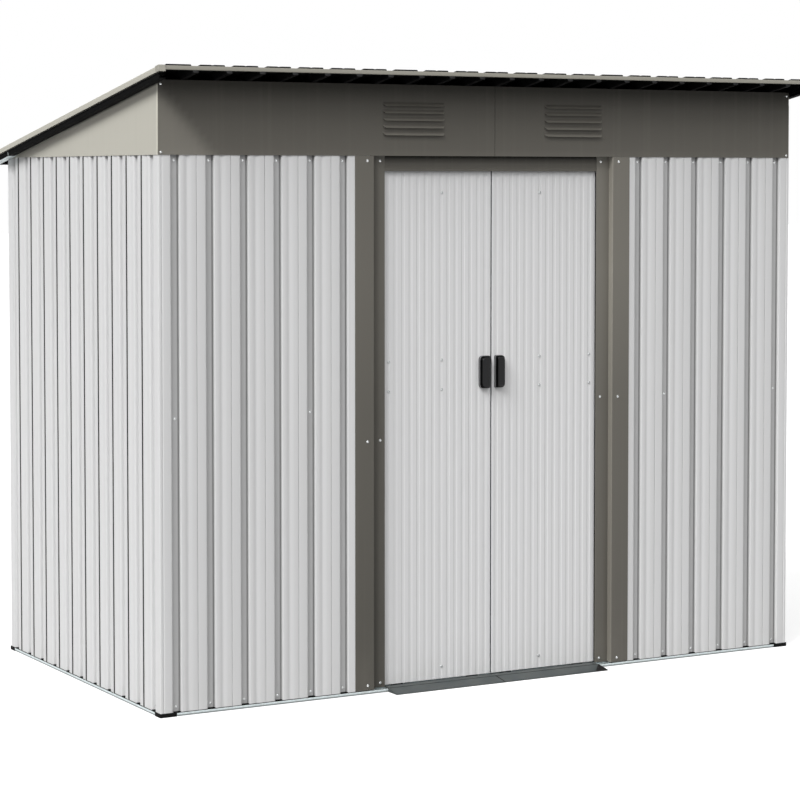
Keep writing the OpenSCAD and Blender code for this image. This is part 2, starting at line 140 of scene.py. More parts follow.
def grid_rows(rows: int, columns: int, wrap: bool) -> Array:
    """Number the quads of a grid of points stored row by row.

    Args:
        rows: Number of rows of points.
        columns: Number of points in a row.
        wrap: Whether the last point of a row joins its first.

    Returns:
        An array of quads, four point numbers each.
    """
    across = np.arange(columns if wrap else columns - 1)
    r, c = np.meshgrid(np.arange(rows - 1), across, indexing="ij")
    here, after = r * columns + c, r * columns + (c + 1) % columns
    return np.stack([here, after, after + columns, here + columns], -1).reshape(-1, 4)


@dataclass(frozen=True)
class Axes:
    """A local frame: a and b span a section and c is the way it is carried."""

    origin: Triple
    a: Triple
    b: Triple
    c: Triple

    def place(self, local: Array) -> Array:
        """Return local (a, b, c) rows as points of the model: origin + a·A + b·B + c·C."""
        return np.asarray(self.origin) + local @ np.array([self.a, self.b, self.c])


ALONG_X = Axes((0, 0, 0), (0, 1, 0), (0, 0, 1), (1, 0, 0))
LARGEST_CUT = 0.45  # most of a side that one rounded corner takes
LEAST_AGREEMENT = 0.35  # keeps the offset of a hairpin bend short


def fillet(corners: Array, radius: float | Array, steps: int = 4) -> Array:
    """Round the inner corners of an open line.

    Each corner P with its neighbours at unit directions u and v becomes a short curve from
    A = P + r·u to B = P + r·v, (1-t)²·A + 2t(1-t)·P + t²·B for t from 0 to 1. The length r is
    never more than 0.45 of the shorter of the corner's two sides.

    Args:
        corners: Corner points, one row each; a third column is carried along with them.
        radius: Length cut from each side of a corner, or one for each inner corner.
        steps: Number of segments in each curve.

    Returns:
        The points of the rounded line.
    """
    corners = np.asarray(corners, float)
    here, before, after = corners[1:-1], corners[:-2], corners[2:]
    back, ahead = before - here, after - here
    lb = np.linalg.norm(back[:, :2], axis=1, keepdims=True)
    la = np.linalg.norm(ahead[:, :2], axis=1, keepdims=True)
    cut = np.minimum(np.reshape(radius, (-1, 1)), LARGEST_CUT * np.minimum(lb, la))
    start, end = here + back / lb * cut, here + ahead / la * cut
    t = np.linspace(0.0, 1.0, steps + 1)[None, :, None]
    arcs = (1 - t) ** 2 * start[:, None] + 2 * t * (1 - t) * here[:, None] + t**2 * end[:, None]
    return np.concatenate([corners[:1], arcs.reshape(-1, corners.shape[1]), corners[-1:]])


def repeated(shape: Array, places: Array) -> Array:
    """Copy a short run of points to several places along its first coordinate.

    Args:
        shape: The run's points, one row each.
        places: How far along each copy stands.

    Returns:
        The copies' points as (copy, point, coordinate).
    """
    shape = np.asarray(shape, float)
    copies = np.repeat(shape[None], len(places), 0)
    copies[:, :, 0] += np.asarray(places)[:, None]
    return copies


def offset_line(line: Array, distance: float) -> Array:
    """Move a line sideways, to the left of its direction, by a distance.

    Each point moves along the mean of its two segments' unit normals, divided by their
    agreement, so that both segments end up the full distance away.

    Args:
        line: Points of an open line in a plane.
        distance: How far it moves.

    Returns:
        The moved points, as many as before.
    """
    step = np.diff(line, axis=0)
    step /= np.linalg.norm(step, axis=1, keepdims=True)
    normal = np.stack([-step[:, 1], step[:, 0]], -1)
    first = np.concatenate([normal[:1], normal])
    last = np.concatenate([normal, normal[-1:]])
    mean = first + last
    agreement = np.maximum(np.einsum("ij,ij->i", mean, mean) / 2, LEAST_AGREEMENT)
    return line + mean * (distance / agreement)[:, None]


def folded_sheet(line: Array, gauge: float, ends: tuple[float, ...], axes: Axes,
                 back: float = 0.0, dim: tuple[float, ...] | None = None) -> Surface:
    """Give a line a thickness and carry it straight along: a rolled or folded metal sheet.

    The points are place(line or its offset, c) for c at each place in ends; quads join them all
    round. Where dim is given the painted shade is 1 - (1 - the section's) · (1 - dim).

    Args:
        line: The sheet's face as points of a section; a third column gives their painted shade.
        gauge: Sheet thickness, to the left of the line's direction; negative for the right.
        ends: Where the sheet starts and ends along c, with any places between.
        axes: The section's frame.
        back: The painted shade of the sheet's other face.
        dim: The painted shade of the sheet at each place in ends.

    Returns:
        A closed surface.
    """
    flat = line[:, :2]
    ring = np.concatenate([flat, offset_line(flat, gauge)[::-1]])
    count, n = len(ring), len(line)
    local = np.stack([np.column_stack([ring, np.full(count, c)]) for c in ends])
    i = np.arange(n - 1)
    cap = np.stack([i, i + 1, count - 2 - i, count - 1 - i], -1)
    faces = [grid_rows(len(ends), count, True), cap[:, ::-1], cap + count * (len(ends) - 1)]
    front = line[:, 2] if line.shape[1] == 3 else np.zeros(n)
    section = np.concatenate([front, np.full(n, back)])
    along = np.zeros(len(ends)) if dim is None else np.array(dim)
    painted_shade = 1 - (1 - section)[None] * (1 - along)[:, None]
    return Surface(axes.place(local.reshape(-1, 3)), faces, painted_shade.reshape(-1)).outward()


def loft(rings: Array, painted_shade: Array | None = None) -> Surface:
    """Join closed rings of points, one after another, and close both ends.

    Args:
        rings: Points as (ring, place round the ring, xyz).
        painted_shade: The painted shade of each ring.

    Returns:
        A closed surface.
    """
    count, around = rings.shape[:2]
    start = np.arange(around)[None, :]
    faces = [grid_rows(count, around, True), start[:, ::-1], start + (count - 1) * around]
    shade = None if painted_shade is None else np.repeat(painted_shade, around)
    return Surface(rings.reshape(-1, 3), faces, shade).outward()


def block_shape(low: Triple, high: Triple, edge: float) -> Surface:
    """Make a block with softened edges.

    Rings of eight corners with their corners cut by edge are stacked along z; the lowest and
    highest ring are drawn in by edge as well, so all twelve edges are chamfered.

    Args:
        low: Lowest corner.
        high: Highest corner.
        edge: Width of the chamfers.

    Returns:
        A closed surface.
    """
    low, high = np.asarray(low, float), np.asarray(high, float)
    middle, half = (low + high) / 2, (high - low) / 2
    signs = np.array([[1, -1], [1, 1], [-1, 1], [-1, -1]], float).repeat(2, 0)
    cut = np.tile([[0.0, 1.0], [1.0, 0.0], [1.0, 0.0], [0.0, 1.0]], (2, 1))
    shrink = np.array([edge, 0.0, 0.0, edge])
    heights = np.array([low[2], low[2] + edge, high[2] - edge, high[2]])
    plan = signs[None] * (half[:2] - shrink[:, None, None] - cut[None] * edge) + middle[:2]
    return loft(np.concatenate([plan, np.broadcast_to(heights[:, None, None], (4, 8, 1))], -1))


# ---------------------------------------------------------------- shader groups


class Kind(Enum):
    """The kinds of socket that the shared groups have."""

    VALUE = "NodeSocketFloat"
    COLOUR = "NodeSocketColor"


def new_group(name: str, inputs: dict[str, float | tuple],
              outputs: dict[str, Kind]) -> tuple[Tree, Node, Node]:
    """Start a shader node group with named sockets.

    Args:
        name: The group's name.
        inputs: Socket name to default; a float makes a value socket and a tuple a colour socket.
        outputs: Socket name to its kind.

    Returns:
        The group's tree, its input node and its output node.
    """
    tree = bpy.data.node_groups.new(name, "ShaderNodeTree")
    for key, value in inputs.items():
        kind = Kind.COLOUR if isinstance(value, tuple) else Kind.VALUE
        socket = tree.interface.new_socket(name=key, in_out="INPUT", socket_type=kind.value)
        socket.default_value = value
    for key, kind in outputs.items():
        tree.interface.new_socket(name=key, in_out="OUTPUT", socket_type=kind.value)
    return tree, tree.nodes.new("NodeGroupInput"), tree.nodes.new("NodeGroupOutput")


def texture(tree: Tree, kind: str, scale: Triple, **values: float) -> Node:
    """Add a procedural texture on Object coordinates.

    Args:
        tree: Tree to add to.
        kind: Texture node type, such as ShaderNodeTexNoise.
        scale: Cycles per metre along each axis.
        values: Other sockets to set, by name with underscores for spaces.

    Returns:
        The texture node.
    """
    coordinates = tree.nodes.new("ShaderNodeTexCoord")
    mapping = tree.nodes.new("ShaderNodeMapping")
    mapping.inputs["Scale"].default_value = scale
    node = tree.nodes.new(kind)
    node.inputs["Scale"].default_value = 1.0
    for key, value in values.items():
        node.inputs[key.replace("_", " ")].default_value = value
    tree.links.new(coordinates.outputs["Object"], mapping.inputs["Vector"])
    tree.links.new(mapping.outputs["Vector"], node.inputs["Vector"])
    return node


def ramp(tree: Tree, source: Socket, low: float, high: float,
         to_low: float = 0.0, to_high: float = 1.0) -> Socket:
    """Map a value from one range to another, clamped to it.

    Args:
        tree: Tree to add to.
        source: The value.
        low: Where the first range starts.
        high: Where it ends.
        to_low: What low becomes.
        to_high: What high becomes.

    Returns:
        The result's socket.
    """
    node = tree.nodes.new("ShaderNodeMapRange")
    limits = {"From Min": low, "From Max": high, "To Min": to_low, "To Max": to_high}
    for key, value in limits.items():
        node.inputs[key].default_value = value
    tree.links.new(source, node.inputs["Value"])
    return node.outputs["Result"]


def maths(tree: Tree, operation: str, first: Socket | float, second: Socket | float) -> Socket:
    """Combine two values with a Math node.

    Args:
        tree: Tree to add to.
        operation: The Math node's operation.
        first: A socket or a number.
        second: A socket or a number.

    Returns:
        The result's socket.
    """
    node = tree.nodes.new("ShaderNodeMath")
    node.operation = operation
    for place, value in enumerate((first, second)):
        if isinstance(value, float):
            node.inputs[place].default_value = value
        else:
            tree.links.new(value, node.inputs[place])
    return node.outputs["Value"]


def mix_colour(tree: Tree, factor: Socket, first: Socket, second: Socket) -> Socket:
    """Mix two colours.

    Args:
        tree: Tree to add to.
        factor: How much of the second colour there is.
        first: The first colour.
        second: The second colour.

    Returns:
        The mixed colour's socket.
    """
    node = tree.nodes.new("ShaderNodeMix")
    node.data_type = "RGBA"
    tree.links.new(factor, node.inputs["Factor"])
    for colour, name in ((first, "A_Color"), (second, "B_Color")):
        tree.links.new(colour, next(i for i in node.inputs if i.identifier == name))
    return next(o for o in node.outputs if o.identifier == "Result_Color")


def swing(tree: Tree, source: Socket, amount: Socket | float) -> Socket:
    """Return (source - 1/2) · amount: a texture's departure from its middle, scaled."""
    return maths(tree, "MULTIPLY", maths(tree, "SUBTRACT", source, 0.5), amount)


class ShaderGroups:
    """The effects that several finishes share, each built once."""

    def __init__(self) -> None:
        """Build every group."""
        self.coat = self._coat()
        self.weather = self._weather()
        self.spangle = self._spangle()
        self.moulded = self._moulded()

    def _coat(self) -> Tree:
        """Build the orange peel and slow tone drift of a baked coat on rolled steel.

        Returns:
            The group, which puts out a tone and a height.
        """
        tree, given, out = new_group(
            "coat_texture", {"Drift": 0.03, "Peel": 1.0},
            {"Tone": Kind.VALUE, "Height": Kind.VALUE})
        slow = texture(tree, "ShaderNodeTexNoise", (3.0, 3.0, 1.2), Detail=3.0)
        fine = texture(tree, "ShaderNodeTexNoise", (900.0, 900.0, 500.0), Detail=2.0)
        wave = texture(tree, "ShaderNodeTexNoise", (40.0, 40.0, 6.0), Detail=1.0)
        tone = swing(tree, slow.outputs["Fac"], given.outputs["Drift"])
        tree.links.new(maths(tree, "ADD", tone, 1.0), out.inputs["Tone"])
        peel = maths(tree, "MULTIPLY", fine.outputs["Fac"], given.outputs["Peel"])
        rolled = maths(tree, "MULTIPLY", wave.outputs["Fac"], 0.2)
        tree.links.new(maths(tree, "ADD", peel, rolled), out.inputs["Height"])
        return tree

    def _weather(self) -> Tree:
        """Build dust low down and faint run-off streaks over a colour.

        Returns:
            The group, which puts out the weathered colour and the mask of its dust.
        """
        tree, given, out = new_group(
            "light_weather",
            {"Colour": (0.8, 0.8, 0.8, 1.0), "Dust": (0.45, 0.42, 0.36, 1.0), "Amount": 0.2},
            {"Colour": Kind.COLOUR, "Mask": Kind.VALUE})
        position = tree.nodes.new("ShaderNodeTexCoord")
        parts = tree.nodes.new("ShaderNodeSeparateXYZ")
        tree.links.new(position.outputs["Object"], parts.inputs["Vector"])
        low = ramp(tree, parts.outputs["Z"], 0.0, 0.16, 1.0, 0.0)
        cloud = texture(tree, "ShaderNodeTexNoise", (14.0, 14.0, 9.0), Detail=5.0)
        streak = texture(tree, "ShaderNodeTexNoise", (60.0, 60.0, 0.8), Detail=2.0)
        splash = maths(tree, "MULTIPLY", low, ramp(tree, cloud.outputs["Fac"], 0.35, 0.7))
        runs = ramp(tree, streak.outputs["Fac"], 0.52, 0.78, 0.0, 0.35)
        mask = maths(tree, "MULTIPLY", maths(tree, "ADD", splash, runs), given.outputs["Amount"])
        tree.links.new(mask, out.inputs["Mask"])
        dusty = mix_colour(tree, mask, given.outputs["Colour"], given.outputs["Dust"])
        tree.links.new(dusty, out.inputs["Colour"])
        return tree

    def _spangle(self) -> Tree:
        """Build the crystal pattern of a zinc coat.

        Returns:
            The group, which puts out a tone and a roughness.
        """
        tree, given, out = new_group(
            "zinc_spangle", {"Contrast": 0.25, "Fine": 1.0},
            {"Tone": Kind.VALUE, "Rough": Kind.VALUE})
        cells = texture(tree, "ShaderNodeTexVoronoi", (160.0, 160.0, 160.0), Randomness=1.0)
        brush = texture(tree, "ShaderNodeTexNoise", (500.0, 500.0, 500.0), Detail=2.0)
        grey = tree.nodes.new("ShaderNodeRGBToBW")
        tree.links.new(cells.outputs["Color"], grey.inputs["Color"])
        tone = swing(tree, grey.outputs["Val"], given.outputs["Contrast"])
        speck = swing(tree, brush.outputs["Fac"], 0.08)
        tree.links.new(maths(tree, "ADD", maths(tree, "ADD", tone, speck), 1.0), out.inputs["Tone"])
        rough = ramp(tree, grey.outputs["Val"], 0.0, 1.0, 0.34, 0.52)
        tree.links.new(maths(tree, "MULTIPLY", rough, given.outputs["Fine"]), out.inputs["Rough"])
        return tree

    def _moulded(self) -> Tree:
        """Build the fine leathery texture of a moulded part.

        Returns:
            The group, which puts out a tone and a height.
        """
        tree, given, out = new_group(
            "moulded_texture", {"Speck": 0.5}, {"Tone": Kind.VALUE, "Height": Kind.VALUE})
        cells = texture(tree, "ShaderNodeTexVoronoi", (1400.0, 1400.0, 1400.0))
        noise = texture(tree, "ShaderNodeTexNoise", (90.0, 90.0, 90.0), Detail=4.0)
        tone = swing(tree, noise.outputs["Fac"], given.outputs["Speck"])
        tree.links.new(maths(tree, "ADD", tone, 1.0), out.inputs["Tone"])
        tree.links.new(cells.outputs["Distance"], out.inputs["Height"])
        return tree


# ---------------------------------------------------------------- finishes


@dataclass(frozen=True)
class Finish:
    """A finish: its name, the record's slot it belongs to and its base colour."""

    name: str
    slot: str
    colour: Triple
    roughness: float = 0.5

    def material(self, groups: ShaderGroups) -> Material:
        """Find this finish's material, or make it the first time it is asked for.

        Args:
            groups: The shared effects.

        Returns:
            The material.
        """
        found = bpy.data.materials.get(self.name)
        if found is not None:
            return found
        made = bpy.data.materials.new(self.name)
        made.use_nodes = True
        tree = made.node_tree
        shader = tree.nodes["Principled BSDF"]
        shader.inputs["Roughness"].default_value = self.roughness
        self.wire(tree, shader, groups)
        return made

    def wire(self, tree: Tree, shader: Node, groups: ShaderGroups) -> None:
        """Connect the finish's effects to its shader; each kind of finish has its own way."""
        raise NotImplementedError

    def group_node(self, tree: Tree, group: Tree, **values: float) -> Node:
        """Place a shared group in the material.

        Args:
            tree: The material's tree.
            group: The group.
            values: Its sockets to set, by name.

        Returns:
            The group's node.
        """
        node = tree.nodes.new("ShaderNodeGroup")
        node.node_tree = group
        for key, value in values.items():
            node.inputs[key].default_value = value
        return node

    def shaded(self, tree: Tree, tone: Socket | float) -> Socket:
        """Take a tone down by the painted shade, and up where it is below 0: tone · (1 - shade).

        Args:
            tree: The material's tree.
            tone: A socket or a number.

        Returns:
            The result's socket.
        """
        # the attribute holds the painted shade
        depth = tree.nodes.new("ShaderNodeAttribute")
        depth.attribute_name = "painted_shade"
        return maths(tree, "MULTIPLY", tone, maths(tree, "SUBTRACT", 1.0, depth.outputs["Fac"]))

    def toned(self, tree: Tree, tone: Socket) -> Socket:
        """Multiply the base colour by a tone that varies over the surface.

        Args:
            tree: The material's tree.
            tone: The tone's socket.

        Returns:
            The colour's socket.
        """
        node = tree.nodes.new("ShaderNodeVectorMath")
        node.operation = "SCALE"
        node.inputs[0].default_value = self.colour
        tree.links.new(tone, node.inputs["Scale"])
        return node.outputs["Vector"]

    def gloss(self, tree: Tree, shader: Node, specular: float) -> None:
        """Set how strongly the surface shines, and take it down by the painted shade.

        Args:
            tree: The material's tree.
            shader: The material's shader.
            specular: The plain surface's specular level.
        """
        socket = shader.inputs["Specular IOR Level"]
        socket.default_value = specular
        tree.links.new(self.shaded(tree, specular), socket)

    def bump(self, tree: Tree, shader: Node, height: Socket, distance: float,
             strength: float) -> None:
        """Tilt the surface's normal by a height map.

        Args:
            tree: The material's tree.
            shader: The material's shader.
            height: The height map's socket.
            distance: How high the map's 1 stands, in metres.
            strength: How much of the effect shows.
        """
        node = tree.nodes.new("ShaderNodeBump")
        node.inputs["Distance"].default_value = distance
        node.inputs["Strength"].default_value = strength
        tree.links.new(height, node.inputs["Height"])
        tree.links.new(node.outputs["Normal"], shader.inputs["Normal"])


@dataclass(frozen=True)
class Paint(Finish):
    """A baked coat on steel: orange peel, slow tone drift, painted shade, weather."""

    drift: float = 0.05
    dust: float = 0.15
    peel: float = 0.25
    specular: float = 0.35

    def wire(self, tree: Tree, shader: Node, groups: ShaderGroups) -> None:
        """Connect the coat's colour, roughness, gloss and bump.

        Args:
            tree: The material's tree.
            shader: The material's shader.
            groups: The shared effects.
        """
        coat = self.group_node(tree, groups.coat, Drift=self.drift)
        weather = self.group_node(tree, groups.weather, Amount=self.dust)
        # the coat's tone takes the painted shade
        tone = self.shaded(tree, coat.outputs["Tone"])
        tree.links.new(self.toned(tree, tone), weather.inputs["Colour"])
        tree.links.new(weather.outputs["Colour"], shader.inputs["Base Color"])
        dusty = min(1.0, self.roughness + 0.25)
        rough = ramp(tree, weather.outputs["Mask"], 0.0, 0.4, self.roughness, dusty)
        tree.links.new(rough, shader.inputs["Roughness"])
        self.gloss(tree, shader, self.specular)
        self.bump(tree, shader, coat.outputs["Height"], 0.00008, self.peel)


SPANGLE_ROUGHNESS = 0.43  # middle of the roughness that the spangle group puts out


@dataclass(frozen=True)
class Zinc(Finish):
    """Galvanised or plated steel with a fine crystal pattern."""

    metallic: float = 0.85
    contrast: float = 0.25

    def wire(self, tree: Tree, shader: Node, groups: ShaderGroups) -> None:
        """Connect the zinc's tone and roughness.

        Args:
            tree: The material's tree.
            shader: The material's shader.
            groups: The shared effects.
        """
        fine = self.roughness / SPANGLE_ROUGHNESS
        spangle = self.group_node(tree, groups.spangle, Contrast=self.contrast, Fine=fine)
        # the zinc's tone takes the painted shade
        tone = self.shaded(tree, spangle.outputs["Tone"])
        tree.links.new(self.toned(tree, tone), shader.inputs["Base Color"])
        tree.links.new(spangle.outputs["Rough"], shader.inputs["Roughness"])
        shader.inputs["Metallic"].default_value = self.metallic


@dataclass(frozen=True)
class Moulded(Finish):
    """Moulded plastic or closed foam with a fine texture."""

    speck: float = 0.3
    grain: float = 0.3
    specular: float = 0.5

    def wire(self, tree: Tree, shader: Node, groups: ShaderGroups) -> None:
        """Connect the moulding's tone, gloss and bump.

        Args:
            tree: The material's tree.
            shader: The material's shader.
            groups: The shared effects.
        """
        node = self.group_node(tree, groups.moulded, Speck=self.speck)
        # the moulding's tone takes the painted shade
        tone = self.shaded(tree, node.outputs["Tone"])
        tree.links.new(self.toned(tree, tone), shader.inputs["Base Color"])
        self.gloss(tree, shader, self.specular)
        self.bump(tree, shader, node.outputs["Height"], 0.0001, self.grain)


WALL = Paint("wall_coat", "wall_paint", (0.81, 0.81, 0.812), 0.45, dust=0.08)
DOOR = Paint("door_coat", "door_paint", (0.85, 0.85, 0.855), 0.45, dust=0.1)
TAUPE = Paint("taupe_coat", "taupe_paint", (0.137, 0.129, 0.111), 0.45, dust=0.1)
STONE = Paint("stone_coat", "stone_paint", (0.594, 0.576, 0.504), 0.45)
# a darker copy of the stone coat: painted shade on the front and back roof trims
STONE_IN_SHADE = Paint("stone_coat_in_shade", "stone_paint", (0.335, 0.322, 0.276), 0.45)
ROOF = Paint("roof_coat", "roof_paint", (0.017, 0.017, 0.018), 0.45, dust=0.02, peel=0.15,
             specular=0.2)
SLATE = Paint("ramp_coat", "ramp_steel", (0.052, 0.063, 0.065), 0.5, drift=0.25, dust=0.08,
              peel=0.5)
# a near-black copy of the galvanised finish: painted shadow on the roof's edge rails
SHADED = Paint("rail_painted_shadow", "galvanised", (0.004, 0.004, 0.004), 0.8, dust=0.0, specular=0.05)
GALVANISED = Zinc("zinc_sheet", "galvanised", (0.80, 0.88, 0.89), 0.43, metallic=0.3)
DOOR_STEEL = Zinc("zinc_channel", "door_steel", (0.7, 0.73, 0.74), 0.43)
PLATED = Zinc("plated_screw", "galvanised", (0.80, 0.82, 0.82), 0.28, contrast=0.08)
DULL = Zinc("dull_screw", "galvanised", (0.55, 0.57, 0.57), 0.5, metallic=0.9, contrast=0.08)
BLACK = Moulded("black_moulding", "black_plastic", (0.008, 0.008, 0.009), 0.38)
FOOT = Moulded("foot_moulding", "black_plastic", (0.006, 0.006, 0.006), 0.75, specular=0.12)
CAP = Moulded("stone_moulding", "stone_plastic", (0.42, 0.405, 0.35), 0.5, speck=0.12)
FOAM = Moulded("black_foam", "black_plastic", (0.01, 0.01, 0.01), 0.9, grain=1.0, specular=0.1)


# ---------------------------------------------------------------- pieces


@dataclass
class Piece:
    """One finished piece, what it stands for, and how its mesh is finished.

    A crease is the angle in degrees past which an edge is sharp, a bevel is an edge's width, and
    a wall is the thickness given inwards to an open surface; 0 leaves the last two out.
    """

    name: str
    surface: Surface
    finish: Finish
    body: Body = Body.SHELL
    stands_for: tuple[str, ...] = ()
    crease: float = 35.0
    bevel: float = 0.0
    wall: float = 0.0


class Workshop:
    """Turns pieces into Blender objects in the model's frame."""

    def __init__(self, nodes: dict[str, bpy.types.Object]) -> None:
        """Keep the CAD nodes and build the shared shader groups.

        Args:
            nodes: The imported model's objects by name.
        """
        self.nodes = nodes
        self.groups = ShaderGroups()
        self.plain = set(nodes)

    def add(self, piece: Piece) -> None:
        """Make a piece's mesh, dress it and put it on its body.

        Args:
            piece: The piece to make.
        """
        mesh = bpy.data.meshes.new(piece.name)
        faces = [row for rows in piece.surface.faces for row in rows.tolist()]
        mesh.from_pydata(piece.surface.points.tolist(), [], faces)
        # the painted shade goes on the mesh as the point attribute that the finishes read
        if piece.surface.painted_shade is not None:
            depth = mesh.attributes.new("painted_shade", "FLOAT", "POINT")
            depth.data.foreach_set("value", piece.surface.painted_shade.astype(np.float32))
        mesh.validate()
        mesh.shade_smooth()
        mesh.set_sharp_from_angle(angle=math.radians(piece.crease))
        if piece.wall:
            self.sharpen_rims(mesh)
        mesh.materials.append(piece.finish.material(self.groups))
        made = bpy.data.objects.new(piece.name, mesh)
        bpy.context.scene.collection.objects.link(made)
        if piece.wall:
            thick = made.modifiers.new("gauge", "SOLIDIFY")
            thick.thickness = piece.wall
            thick.offset = -1.0
        if piece.bevel:
            soft = made.modifiers.new("edges", "BEVEL")
            soft.width = piece.bevel
            soft.segments = 2
            soft.limit_method = "ANGLE"
        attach(made, piece.body.value)
        if piece.stands_for:
            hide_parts(*piece.stands_for)
            self.plain -= set(piece.stands_for)
        LOG.info("%s: %d points on %s", piece.name, len(mesh.vertices), piece.body.value)

    def sharpen_rims(self, mesh: bpy.types.Mesh) -> None:
        """Make every rim of an open surface sharp, so that it doesn't bend the shading.

        Args:
            mesh: The surface's mesh; a rim is an edge that only one face uses.
        """
        uses = np.empty(len(mesh.loops), np.int32)
        mesh.loops.foreach_get("edge_index", uses)
        sharp = np.empty(len(mesh.edges), bool)
        mesh.edges.foreach_get("use_edge_sharp", sharp)
        rim = np.bincount(uses, minlength=len(mesh.edges)) == 1
        mesh.edges.foreach_set("use_edge_sharp", sharp | rim)

    def dress(self, node: str, finish: Finish) -> None:
        """Give a CAD node that keeps its own shape a finish.

        Args:
            node: The node's name.
            finish: Its new finish.
        """
        slots = self.nodes[node].data.materials
        slots.clear()
        slots.append(finish.material(self.groups))
        self.plain.discard(node)


@dataclass(frozen=True)
class ScrewHead:
    """A pan-head screw on a washer."""

    radius: float = 0.0033
    height: float = 0.0028
    washer: float = 0.0043
    sides: int = 12

    def at(self, places: Array, outward: Array) -> Surface:
        """Copy the head to many places.

        The head is a ring profile turned about its axis: washer edge, washer top, head foot,
        head shoulder and crown. Each copy is place + x·E + y·F + z·N with E, F, N a right-handed
        frame on the outward direction N.

        Args:
            places: Points on the faces that the screws hold, one row each.
            outward: Outward unit directions, one row each or one for all.

        Returns:
            One surface of all the heads.
        """
        rim, top = self.washer, self.height
        profile = np.array([[rim, -0.0004], [rim, 0.0005], [self.radius * 1.02, 0.0008],
                            [self.radius, top * 0.55], [self.radius * 0.6, top * 0.95]])
        angle = np.arange(self.sides) * 2 * math.pi / self.sides
        ring = np.stack([np.cos(angle), np.sin(angle)], -1)
        heights = np.broadcast_to(profile[:, None, 1:], (len(profile), self.sides, 1))
        head = loft(np.concatenate([profile[:, None, :1] * ring[None], heights], -1))
        places = np.asarray(places, float).reshape(-1, 3)
        normal = np.broadcast_to(np.asarray(outward, float), places.shape)
        steep = np.abs(normal[:, 2:]) > 0.9
        side = np.cross(np.where(steep, (1.0, 0.0, 0.0), (0.0, 0.0, 1.0)), normal)
        side /= np.linalg.norm(side, axis=1, keepdims=True)
        basis = np.stack([side, np.cross(normal, side), normal], 1)
        points = places[:, None] + np.einsum("pk,nkj->npj", head.points, basis)
        shift = (np.arange(len(places)) * len(head.points))[:, None, None]
        faces = [(rows[None] + shift).reshape(-1, rows.shape[1]) for rows in head.faces]
        return Surface(points.reshape(-1, 3), faces)


# ---------------------------------------------------------------- the building


@dataclass(frozen=True)
class Plan:
    """Main sizes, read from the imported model's nodes.

    The eaves are the front walls' top, the ridge and the low eaves are the roof's underside over
    the front and back walls, and the jambs, opening and leaf are given by their distance from
    the doorway's middle.
    """

    half_w: float
    half_d: float
    eaves: float
    ridge: float
    low_eaves: float
    jamb_end: float
    jamb_edge: float
    opening: float
    leaf_face: float

    @classmethod
    def from_frame(cls) -> "Plan":
        """Read the sizes from the boxes of the walls, fascia, jamb, header and left door sheet.

        Returns:
            The plan.
        """
        clearance = 0.0003
        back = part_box("corner_posts_back")[1]
        low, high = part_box("fascia_left")
        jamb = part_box("jamb_left")
        return cls(
            half_w=-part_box("left_wall")[0].x, half_d=back.y, eaves=low.z,
            ridge=high.z + clearance, low_eaves=back.z + clearance,
            jamb_end=-jamb[0].x, jamb_edge=-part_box("door_header")[0].x, opening=-jamb[1].x,
            leaf_face=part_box("door_left_panel")[0].y)

    def wall(self, side: Side) -> Axes:
        """Give a wall's frame: a along the wall, b inwards and c up.

        Args:
            side: The wall's side.

        Returns:
            The frame, with its origin at the wall's first corner on the ground.
        """
        w, d = self.half_w, self.half_d
        return {
            Side.FRONT: Axes((-w, -d, 0), (1, 0, 0), (0, 1, 0), (0, 0, 1)),
            Side.BACK: Axes((w, d, 0), (-1, 0, 0), (0, -1, 0), (0, 0, 1)),
            Side.LEFT: Axes((-w, d, 0), (0, -1, 0), (1, 0, 0), (0, 0, 1)),
            Side.RIGHT: Axes((w, -d, 0), (0, 1, 0), (-1, 0, 0), (0, 0, 1)),
        }[side]

    def length(self, side: Side) -> float:
        """Return a wall's length: the building's depth or its width."""
        return 2 * (self.half_d if side.short else self.half_w)

    @property
    def slope(self) -> float:
        """Return the roof's fall as an angle."""
        return math.atan((self.ridge - self.low_eaves) / (2 * self.half_d))

    def roof_low(self, y: float) -> float:
        """Return the height of the roof sheets' lowest plane at depth y."""
        return self.ridge - (y + self.half_d) * math.tan(self.slope)


@dataclass(frozen=True)
class Seam:
    """The narrow slot along each pan, the lip beside it, and painted shade in slots and grooves."""

    width: float
    depth: float
    lip: float
    painted_dark: float
    groove_shade: float
    slope_shade: float


# painted shade: dark slots, darker groove floors and darker far slopes of the grooves
FINE_SEAM = Seam(0.0013, 0.0017, 0.0, 0.3, 0.27, 0.80)
DEEP_SEAM = Seam(0.0052, 0.0050, 0.0019, 0.90, 0.16, 0.16)


